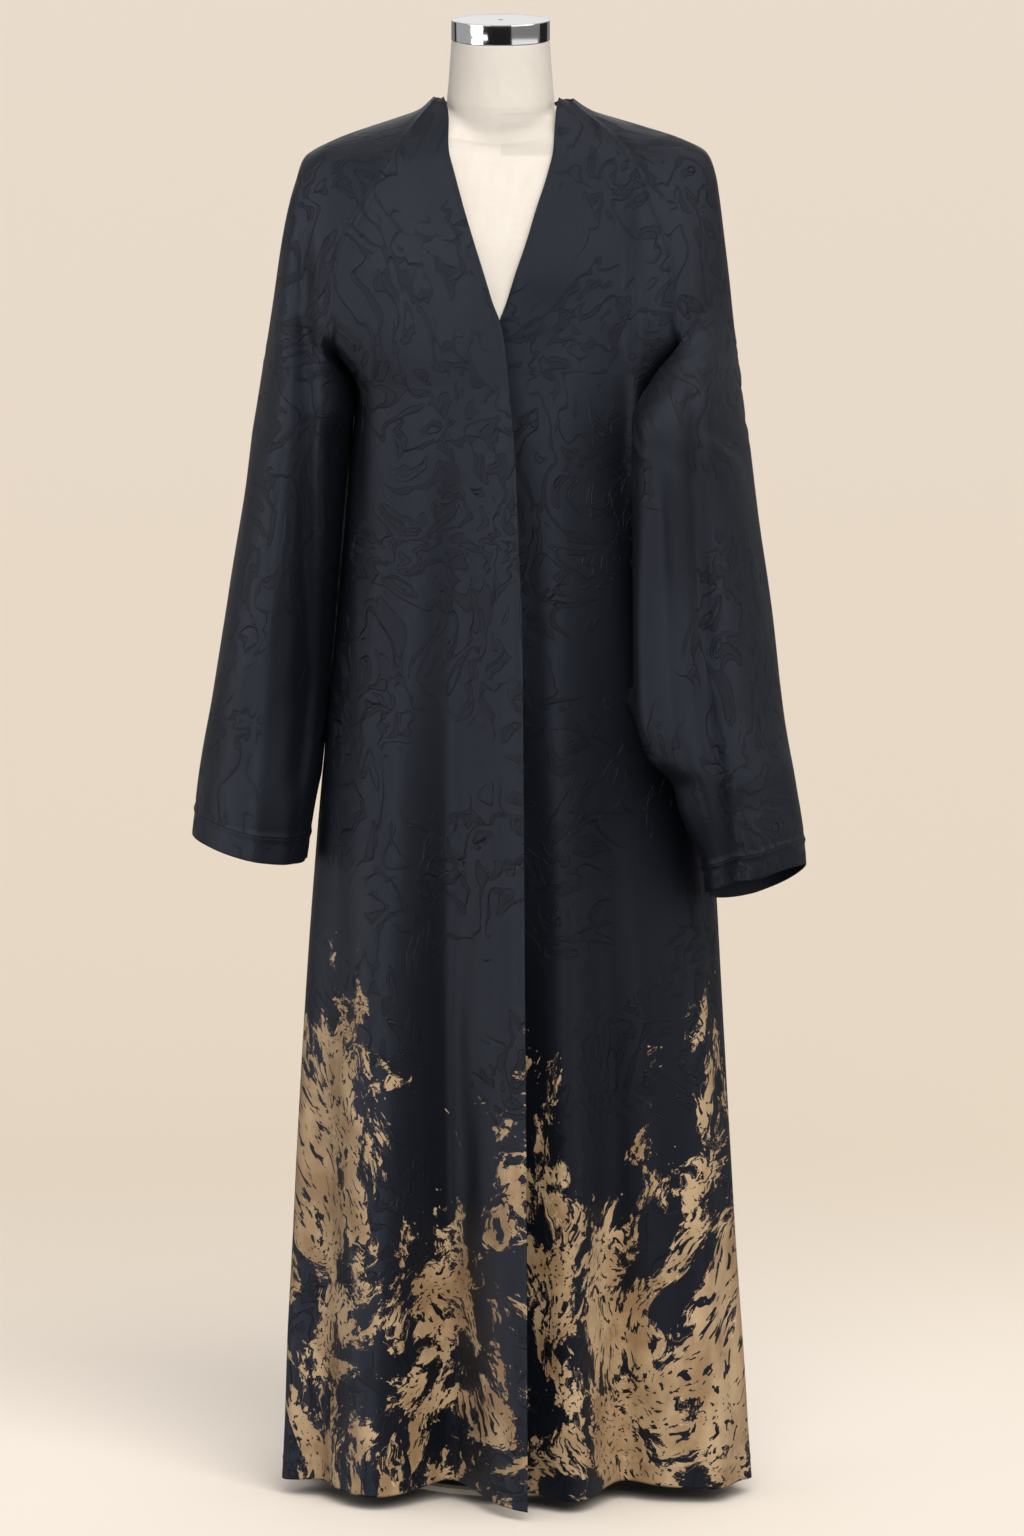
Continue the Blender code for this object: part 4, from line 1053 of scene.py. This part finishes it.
def add_turned(name, profile, steps, finish):
    """A turned piece round the neck's axis: its profile from the top down, swept round, and
    one flat face across the hole at either end."""
    radius, height = np.array(profile[1:-1]).T
    turn = np.linspace(0.0, 2 * np.pi, steps, endpoint=False)
    points = np.stack([radius[:, None] * np.cos(turn), radius[:, None] * np.sin(turn),
                       height[:, None] + 0.0 * turn], axis=-1)
    rows = len(radius)
    faces = [face[::-1] for face in quads(rows, steps, closed=True).tolist()]
    faces.append(list(range(steps)))
    faces.append([(rows - 1) * steps + k for k in reversed(range(steps))])
    return add_mesh(name, points, faces, (finish,))


# ---- Finishes ------------------------------------------------------------------------

def linear(code):
    """An sRGB hex code as linear red, green, blue and alpha."""
    parts = [int(code[k:k + 2], 16) / 255 for k in (1, 3, 5)]
    return [c / 12.92 if c <= 0.04045 else ((c + 0.055) / 1.055) ** 2.4 for c in parts] + [1.0]


def node(tree, kind, inputs, out=0, **settings):
    """Adds a node and gives one of its outputs.  Settings are its properties, and inputs
    maps a socket's name or number to a value or to the output that feeds it."""
    made = tree.nodes.new("ShaderNode" + kind)
    for name, value in settings.items():
        setattr(made, name, value)
    for key, value in inputs.items():
        if isinstance(value, bpy.types.NodeSocket):
            tree.links.new(value, made.inputs[key])
        else:
            made.inputs[key].default_value = value
    return made.outputs[out]


def new_material(name, **constants):
    """A material with a Principled shader, whose constant sockets are set here."""
    made = bpy.data.materials.new(name)
    made.use_nodes = True
    shader = made.node_tree.nodes["Principled BSDF"]
    for socket, value in constants.items():
        shader.inputs[socket.replace("_", " ")].default_value = value
    return made, made.node_tree, shader.inputs


def line_at(tree, value, middle, width):
    """1 where the value is at the middle, falling to 0 a width away on either side."""
    off = node(tree, "Math", {0: value, 1: middle}, operation="SUBTRACT")
    size = node(tree, "Math", {0: off}, operation="ABSOLUTE")
    return node(tree, "MapRange", {"Value": size, "From Min": width, "From Max": 0.0},
                interpolation_type="SMOOTHSTEP")


def wandering(tree, place, waves, reach, detail=1.0):
    """The place pushed about by a noise of so many waves a metre, by up to half the reach,
    in metres across and up, either way."""
    noise = node(tree, "TexNoise", {"Vector": place, "Scale": waves, "Detail": detail},
                 out="Color", noise_dimensions="2D")
    push = node(tree, "VectorMath", {0: noise, 1: (0.5, 0.5, 0.5)}, operation="SUBTRACT")
    push = node(tree, "VectorMath", {0: push, 1: (*reach, 0.0)}, operation="MULTIPLY")
    return node(tree, "VectorMath", {0: place, 1: push}, operation="ADD")


def blotches(tree, place, waves, detail=1.0, stretch=1.0, roughness=0.5):
    """Noise of so many waves a metre, drawn out up the cloth by a stretch."""
    squeezed = node(tree, "VectorMath", {0: place, 1: (1.0, 1.0 / stretch, 1.0)},
                    operation="MULTIPLY")
    return node(tree, "TexNoise", {"Vector": squeezed, "Scale": waves, "Detail": detail,
                                   "Roughness": roughness}, noise_dimensions="2D")


def jacquard(tree, place):
    """The woven vine figure: where its leaves lie, and its relief.  Stems follow the
    contours of a swirling field; another field swells and pinches a band along them into
    leaves, each with a welt round it; both are gathered in clusters."""
    swirl = wandering(tree, place, VINE["drift_waves"], VINE["drift"])
    swirl = wandering(tree, swirl, VINE["curl_waves"], VINE["curl"])
    stems = blotches(tree, swirl, VINE["stem_waves"], stretch=VINE["stem_stretch"])
    turns = node(tree, "Math", {0: stems, 1: 2 * VINE["turns"]}, operation="MULTIPLY")
    away = node(tree, "Math", {0: turns, 1: 1.0}, operation="PINGPONG")
    clusters = blotches(tree, place, VINE["cluster_waves"], detail=2.0)
    clusters = node(tree, "MapRange", {"Value": clusters, "From Min": VINE["bare"],
                                       "From Max": VINE["full"]})
    leaves = blotches(tree, swirl, VINE["leaf_waves"], stretch=VINE["leaf_stretch"])
    swell = node(tree, "MapRange", {"Value": leaves, "From Min": VINE["pinch"],
                                    "From Max": VINE["swell"], "To Max": VINE["half"]})
    half = node(tree, "Math", {0: swell, 1: clusters}, operation="MULTIPLY")
    inside = node(tree, "Math", {0: half, 1: away}, operation="SUBTRACT")
    leaf = node(tree, "MapRange", {"Value": inside, "From Max": VINE["edge"]},
                interpolation_type="SMOOTHSTEP")
    welt = line_at(tree, inside, VINE["welt"], VINE["welt_width"])
    stem = line_at(tree, away, 0.0, VINE["stem"])
    lines = node(tree, "Math", {0: welt, 1: stem}, operation="MAXIMUM")
    lines = node(tree, "Math", {0: lines, 1: clusters}, operation="MULTIPLY")
    return leaf, lines


def grains(tree, grain, inside, spans):
    """1 where the grain passes a level that goes from one value to another over a span of
    distances inside the print."""
    (start, stop), (at_start, at_stop) = spans
    level = node(tree, "MapRange", {"Value": inside, "From Min": start, "From Max": stop,
                                    "To Min": at_start, "To Max": at_stop})
    return node(tree, "Math", {0: grain, 1: level}, operation="GREATER_THAN")


def gilding(tree, place):
    """Where the gold print lies, and how far inside its islands.  A streaked noise, its
    place pulled about in two sizes and broken up by a finer one, is cut off at a level that
    rises up the cloth, and once more near its top, so the print breaks up into tongues and
    islands.  A thin line just outside the level outlines them, and a fine noise pits them
    and sprays specks beside them."""
    height = node(tree, "SeparateXYZ", {0: place}, out=1)
    flow = wandering(tree, place, PRINT["drift_waves"], PRINT["drift"])
    flow = wandering(tree, flow, PRINT["tear_waves"], PRINT["tear"], detail=3.0)
    blots = blotches(tree, flow, PRINT["blot_waves"], detail=2.0,
                     stretch=PRINT["blot_stretch"])
    tongue = blotches(tree, place, PRINT["tongue_waves"], stretch=PRINT["tongue_stretch"])
    level = node(tree, "Math", {0: tongue, 1: -PRINT["tongues"], 2: height},
                 operation="MULTIPLY_ADD")
    cut = node(tree, "MapRange", {"Value": level, "From Min": PRINT["low"],
                                  "From Max": PRINT["high"], "To Min": PRINT["cut_low"],
                                  "To Max": PRINT["cut_high"]})
    share = node(tree, "MapRange", {"Value": level, "From Min": PRINT["low"],
                                    "From Max": PRINT["high"], "To Min": PRINT["ragged_low"],
                                    "To Max": PRINT["ragged_high"]})
    ragged = blotches(tree, flow, PRINT["ragged_waves"], detail=5.0,
                      stretch=PRINT["ragged_stretch"], roughness=0.66)
    ragged = node(tree, "Math", {0: ragged, 1: 0.5}, operation="SUBTRACT")
    blots = node(tree, "Math", {0: blots, 1: PRINT["blot_share"],
                                2: -0.5 * PRINT["blot_share"]}, operation="MULTIPLY_ADD")
    over = node(tree, "Math", {0: ragged, 1: share, 2: blots}, operation="MULTIPLY_ADD")
    over = node(tree, "Math", {0: over, 1: cut}, operation="SUBTRACT")
    ending = node(tree, "MapRange", {"Value": height, "From Min": PRINT["ending"],
                                     "From Max": PRINT["top"], "To Max": PRINT["thinned"]})
    over = node(tree, "Math", {0: over, 1: ending}, operation="SUBTRACT")
    solid = node(tree, "MapRange", {"Value": over, "From Max": ISLAND["edge"]})
    outline = line_at(tree, over, ISLAND["outline"], ISLAND["outline_width"])
    grain = blotches(tree, flow, GRAIN_WAVES, detail=2.0, roughness=0.6)
    gold = node(tree, "Math", {0: solid, 1: grains(tree, grain, over, PITS)},
                operation="MULTIPLY")
    outside = node(tree, "Math", {0: outline, 1: grains(tree, grain, over, SPECKS)},
                   operation="MAXIMUM")
    gold = node(tree, "Math", {0: gold, 1: outside}, operation="MAXIMUM")
    return gold, over


def thread_relief(tree, place, across, up):
    """Crossing threads as the sum of two waves, one thread every so many metres."""
    parts = []
    for spacing, direction in ((across, "X"), (up, "Y")):
        scale = 2 * math.pi / spacing / WAVE_BANDS
        parts.append(node(tree, "TexWave", {"Vector": place, "Scale": scale},
                          out="Fac", bands_direction=direction, wave_profile="SIN"))
    return node(tree, "Math", {0: parts[0], 1: parts[1]}, operation="ADD")


def satin(printed):
    """Jacquard satin, printed or plain: long floats of fine navy yarn give a soft, broad,
    cool gloss; the woven leaves are dull and their outlines a little proud.  The gold print
    is pigment with mica, laid on the floats, so it is nearly matt and hides the figure."""
    name = "printed_jacquard_satin" if printed else "jacquard_satin_back"
    made, tree, shader = new_material(name, IOR=1.5, Specular_IOR_Level=0.42,
                                      Specular_Tint=linear("#d8e0fc"),
                                      Sheen_Weight=0.03, Sheen_Roughness=0.5,
                                      Sheen_Tint=linear("#8c93a8"))
    place = node(tree, "TexCoord", {}, out="UV")
    leaf, lines = jacquard(tree, place)
    shade = blotches(tree, place, NAVY_WAVES, detail=2.0, stretch=2.0)
    ground = node(tree, "Mix", {"Factor": shade, 6: linear(NAVY_DARK), 7: linear(NAVY)},
                  out=2, data_type="RGBA")
    colour = node(tree, "Mix", {"Factor": leaf, 6: ground, 7: linear(NAVY_FIGURE)}, out=2,
                  data_type="RGBA")
    rough = node(tree, "MapRange", {"Value": leaf, "To Min": SATIN_ROUGH,
                                    "To Max": FIGURE_ROUGH})
    relief = node(tree, "Math", {0: leaf, 1: LEAF_SHARE, 2: lines},
                  operation="MULTIPLY_ADD")
    if printed:
        gold, over = gilding(tree, place)
        tone = blotches(tree, place, GOLD_WAVES, detail=4.0, stretch=1.6, roughness=0.6)
        tone = node(tree, "MapRange", {"Value": tone, "From Min": GOLD_LEVELS[0],
                                       "From Max": GOLD_LEVELS[1]})
        paint = node(tree, "Mix", {"Factor": tone, 6: linear(GOLD_DEEP), 7: linear(GOLD)},
                     out=2, data_type="RGBA")
        rim = line_at(tree, over, ISLAND["rim"], ISLAND["rim"])
        paint = node(tree, "Mix", {"Factor": rim, 6: paint, 7: linear(GOLD_RIM)}, out=2,
                     data_type="RGBA")
        colour = node(tree, "Mix", {"Factor": gold, 6: colour, 7: paint}, out=2,
                      data_type="RGBA")
        rough = node(tree, "Mix", {"Factor": gold, 2: rough, 3: GOLD_ROUGH}, out=0)
        bare = node(tree, "Math", {0: 1.0, 1: gold}, operation="SUBTRACT")
        relief = node(tree, "Math", {0: relief, 1: bare}, operation="MULTIPLY")
        tree.links.new(node(tree, "Math", {0: gold, 1: GOLD_METAL}, operation="MULTIPLY"),
                       shader["Metallic"])
    tree.links.new(colour, shader["Base Color"])
    tree.links.new(rough, shader["Roughness"])
    threads = thread_relief(tree, place, *SATIN_THREADS)
    woven = node(tree, "Math", {0: threads, 1: THREAD_SHARE, 2: relief},
                 operation="MULTIPLY_ADD")
    bump = node(tree, "Bump", {"Height": woven, "Distance": FIGURE_RELIEF, "Strength": 1.0})
    tree.links.new(bump, shader["Normal"])
    return made


def linen():
    """Linen cover: plain-woven flax, matt, with slubs that make its threads uneven."""
    made, tree, shader = new_material("woven_linen", Sheen_Weight=0.15, IOR=1.5)
    place = node(tree, "TexCoord", {}, out="UV")
    fine = blotches(tree, place, detail=2.0, **FINE_SLUBS)
    broad = blotches(tree, place, detail=3.0, **BROAD_SLUBS)
    mixed = node(tree, "Math", {0: fine, 1: broad}, operation="ADD")
    tone = node(tree, "MapRange", {"Value": mixed, "From Min": SLUB_LEVELS[0],
                                   "From Max": SLUB_LEVELS[1]})
    colour = node(tree, "Mix", {"Factor": tone, 6: linear(LINEN_SHADE), 7: linear(LINEN)},
                  out=2, data_type="RGBA")
    tree.links.new(colour, shader["Base Color"])
    tree.links.new(node(tree, "MapRange", {"Value": tone, "To Min": 0.92, "To Max": 0.80}),
                   shader["Roughness"])
    threads = thread_relief(tree, place, *LINEN_THREADS)
    bump = node(tree, "Bump", {"Height": threads, "Distance": LINEN_RELIEF, "Strength": 0.8})
    tree.links.new(bump, shader["Normal"])
    return made


def polished_chrome():
    """Plated and polished chrome: a mirror with faint rub marks that run round the cap."""
    made, tree, shader = new_material("polished_chrome", Metallic=1.0)
    place = node(tree, "TexCoord", {}, out="Object")
    marks = node(tree, "VectorMath", {0: place, 1: RUB_WAVES}, operation="MULTIPLY")
    marks = node(tree, "TexNoise", {"Vector": marks, "Scale": 1.0, "Detail": 2.0})
    tree.links.new(node(tree, "MapRange", {"Value": marks, "To Min": 0.05, "To Max": 0.14}),
                   shader["Roughness"])
    colour = node(tree, "Mix", {"Factor": marks, 6: linear(CHROME_RUBBED),
                                7: linear(CHROME)}, out=2, data_type="RGBA")
    tree.links.new(colour, shader["Base Color"])
    return made


def powder_coat():
    """Powder-coated steel: baked beige polyester with a fine orange-peel surface."""
    made, tree, shader = new_material("powder_coated_steel", IOR=1.5)
    place = node(tree, "TexCoord", {}, out="Object")
    peel = node(tree, "TexNoise", {"Vector": place, "Scale": PEEL_WAVES, "Detail": 2.0})
    tone = node(tree, "TexNoise", {"Vector": place, "Scale": COAT_WAVES, "Detail": 3.0})
    colour = node(tree, "Mix", {"Factor": tone, 6: linear(COAT_SHADE), 7: linear(COAT)},
                  out=2, data_type="RGBA")
    tree.links.new(colour, shader["Base Color"])
    tree.links.new(node(tree, "MapRange", {"Value": tone, "To Min": 0.5, "To Max": 0.62}),
                   shader["Roughness"])
    bump = node(tree, "Bump", {"Height": peel, "Distance": PEEL_RELIEF, "Strength": 0.6})
    tree.links.new(bump, shader["Normal"])
    return made


def yarn():
    """Spun polyester sewing yarn in the cloth's navy, with a twist along each stitch."""
    made, tree, shader = new_material("sewing_yarn", IOR=1.5)
    place = node(tree, "TexCoord", {}, out="Object")
    twist = node(tree, "TexNoise", {"Vector": place, "Scale": TWIST_WAVES, "Detail": 1.0})
    colour = node(tree, "Mix", {"Factor": twist, 6: linear(YARN_SHADE), 7: linear(YARN)},
                  out=2, data_type="RGBA")
    tree.links.new(colour, shader["Base Color"])
    tree.links.new(node(tree, "MapRange", {"Value": twist, "To Min": 0.5, "To Max": 0.75}),
                   shader["Roughness"])
    return made


def painted_light_paper():
    """Seamless paper: matt and warm white, with painted light in its colour: brightest at the
    garment's feet, dimmer behind it and a little lighter far off."""
    made, tree, shader = new_material("seamless_paper_painted_light", Roughness=0.95)
    place = node(tree, "TexCoord", {}, out="Object")
    away = node(tree, "VectorMath", {0: place}, out="Value", operation="LENGTH")
    near = node(tree, "MapRange", {"Value": away, "From Min": PAPER_AT[0],
                                   "From Max": PAPER_AT[1]}, interpolation_type="SMOOTHSTEP")
    far = node(tree, "MapRange", {"Value": away, "From Min": PAPER_AT[1],
                                  "From Max": PAPER_AT[2]})
    # Painted light: the paper is brightest near the feet, dimmer behind, lighter again far off
    colour = node(tree, "Mix", {"Factor": near, 6: linear(PAPER_NEAR_PAINTED_LIGHT),
                                7: linear(PAPER_MIDDLE_PAINTED_SHADE)}, out=2, data_type="RGBA")
    colour = node(tree, "Mix", {"Factor": far, 6: colour, 7: linear(PAPER_FAR_PAINTED_LIGHT)}, out=2,
                  data_type="RGBA")
    tree.links.new(colour, shader["Base Color"])
    return made


def card_face(brightness):
    """A card evenly lit by its own lamp."""
    return new_material("lit_card", Roughness=1.0, Base_Color=linear("#000000"),
                        Emission_Color=linear(SURROUND), Emission_Strength=brightness)[0]


# ---- Studio --------------------------------------------------------------------------

def aimed(thing, place, target):
    """Puts a camera or lamp at a place, turned to its target."""
    thing.location = place
    thing.rotation_euler = (Vector(target) - Vector(place)).to_track_quat("-Z", "Y").to_euler()
    bpy.context.scene.collection.objects.link(thing)
    return thing


def add_camera():
    """The camera in front of the garment, raised by its elevation about the target, with
    the lens that sees just the height of the view there."""
    lens = bpy.data.cameras.new("camera")
    lens.sensor_fit = "AUTO"
    lens.sensor_width = CAMERA["film"]
    lens.lens = CAMERA["distance"] * CAMERA["film"] / CAMERA["seen_height"]
    lens.clip_end = CAMERA["sight"]
    tilt = math.radians(CAMERA["elevation"])
    target = Vector(CAMERA["target"])
    back = Vector((0.0, -math.cos(tilt), math.sin(tilt)))
    place = target + back * CAMERA["distance"]
    bpy.context.scene.camera = aimed(bpy.data.objects.new("camera", lens), place, target)


def on_bearing(bearing, distance, height):
    """Point so far from the middle on a bearing from the front, viewer's left negative."""
    turn = np.radians(bearing)
    return np.stack(np.broadcast_arrays(distance * np.sin(turn), -distance * np.cos(turn),
                                        height), axis=-1)


def add_cards():
    """Bright and dark cards in a ring, seen in nothing but reflections."""
    for start, stop, low, high, brightness in CARDS:
        across, up = grid(np.linspace(start, stop, CARD_STEPS + 1), (low, high))
        points = on_bearing(across, CARD_DISTANCE, up)
        card = add_mesh("card", points, quads(*up.shape), (card_face(brightness),))
        card.visible_camera = card.visible_diffuse = card.visible_shadow = False


def add_studio():
    """Paper floor, one large key light, cards, and a surround that is brightest overhead."""
    key = bpy.data.lights.new("key", "SUN")
    key.energy, key.angle = KEY["strength"], math.radians(KEY["size"])
    key.color = linear(KEY["colour"])[:3]
    rise = math.radians(KEY["height"])
    place = on_bearing(KEY["bearing"], KEY["away"] * math.cos(rise),
                       KEY["away"] * math.sin(rise))
    aimed(bpy.data.objects.new("key", key), place, (0.0, 0.0, 0.0)).visible_glossy = False
    world = bpy.data.worlds.new("surround")
    bpy.context.scene.world = world
    world.use_nodes = True
    tree = world.node_tree
    surround = tree.nodes["Background"].inputs
    surround["Color"].default_value = linear(SURROUND)
    height = node(tree, "SeparateXYZ", {0: node(tree, "TexCoord", {}, out="Generated")}, out=2)
    above = node(tree, "MapRange", {"Value": height, "To Min": SURROUND_LEVEL,
                                    "To Max": SURROUND_TOP}, interpolation_type="SMOOTHSTEP")
    below = node(tree, "MapRange", {"Value": height, "From Min": SURROUND_DIP,
                                    "To Min": SURROUND_LOW - SURROUND_LEVEL,
                                    "From Max": 0.0, "To Max": 0.0})
    tree.links.new(node(tree, "Math", {0: above, 1: below}, operation="ADD"),
                   surround["Strength"])
    turn = np.linspace(0.0, 360.0, FLOOR_STEPS, endpoint=False)
    floor = add_mesh("paper_floor", on_bearing(-turn, FLOOR_RADIUS, -FLOOR_DROP),
                     [range(FLOOR_STEPS)], (painted_light_paper(),))
    floor.visible_diffuse = floor.visible_glossy = False
    add_cards()
    bpy.context.scene.view_settings.view_transform = "Standard"


def add_garment():
    """Every piece of cloth over its solid, and the stitches on the cuffs' bands."""
    finish = (satin(printed=True), satin(printed=False))
    thread = yarn()
    cut = {"front_right": (front_cloth("right"), True),
           "front_left": (front_cloth("left"), False), "back": (back_cloth(), True)}
    for side in ("right", "left"):
        sleeve_part, band_part = sleeve_cloth(side)
        cut["sleeve_" + side] = (sleeve_part, side == "right")
        cut["cuff_band_" + side] = (band_part, side == "right")
    for name, (cloth, outwards) in cut.items():
        points, u, v = cloth
        v = v if name in PRINTED else v + UNPRINTED
        made = add_cloth(name + "_cloth", (points, u, v), finish, name, outwards,
                         ROLL_START[name])
        outward = normals(points) * (1 if outwards else -1)
        if name.startswith("cuff_band"):
            line = points[STITCH_ROW] + outward[STITCH_ROW] * STITCH["radius"]
            stitches(name + "_stitches", line, outward[STITCH_ROW], thread)


def add_form():
    """The linen torso and neck, and the chrome cap, each over its solid."""
    points, u, v = dress_form()
    made = add_mesh("form_cover", points, quads(*points.shape[:2]), (linen(),), u, v)
    close_tube(made)
    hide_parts("form_torso")
    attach(made, "root")
    outline = rounded_profile(CAP_PROFILE, CAP_ROUNDING)
    cap = add_turned("cap_turned", outline, CAP_STEPS, polished_chrome())
    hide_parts("neck_cap")
    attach(cap, "root")


def main():
    """Dresses the frame, paints the stand's solids and sets up the studio round them."""
    add_garment()
    add_form()
    paint = powder_coat()
    for name in ("stand_pole", "stand_base"):
        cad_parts[name].data.materials.clear()
        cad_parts[name].data.materials.append(paint)
    add_studio()
    add_camera()


main()
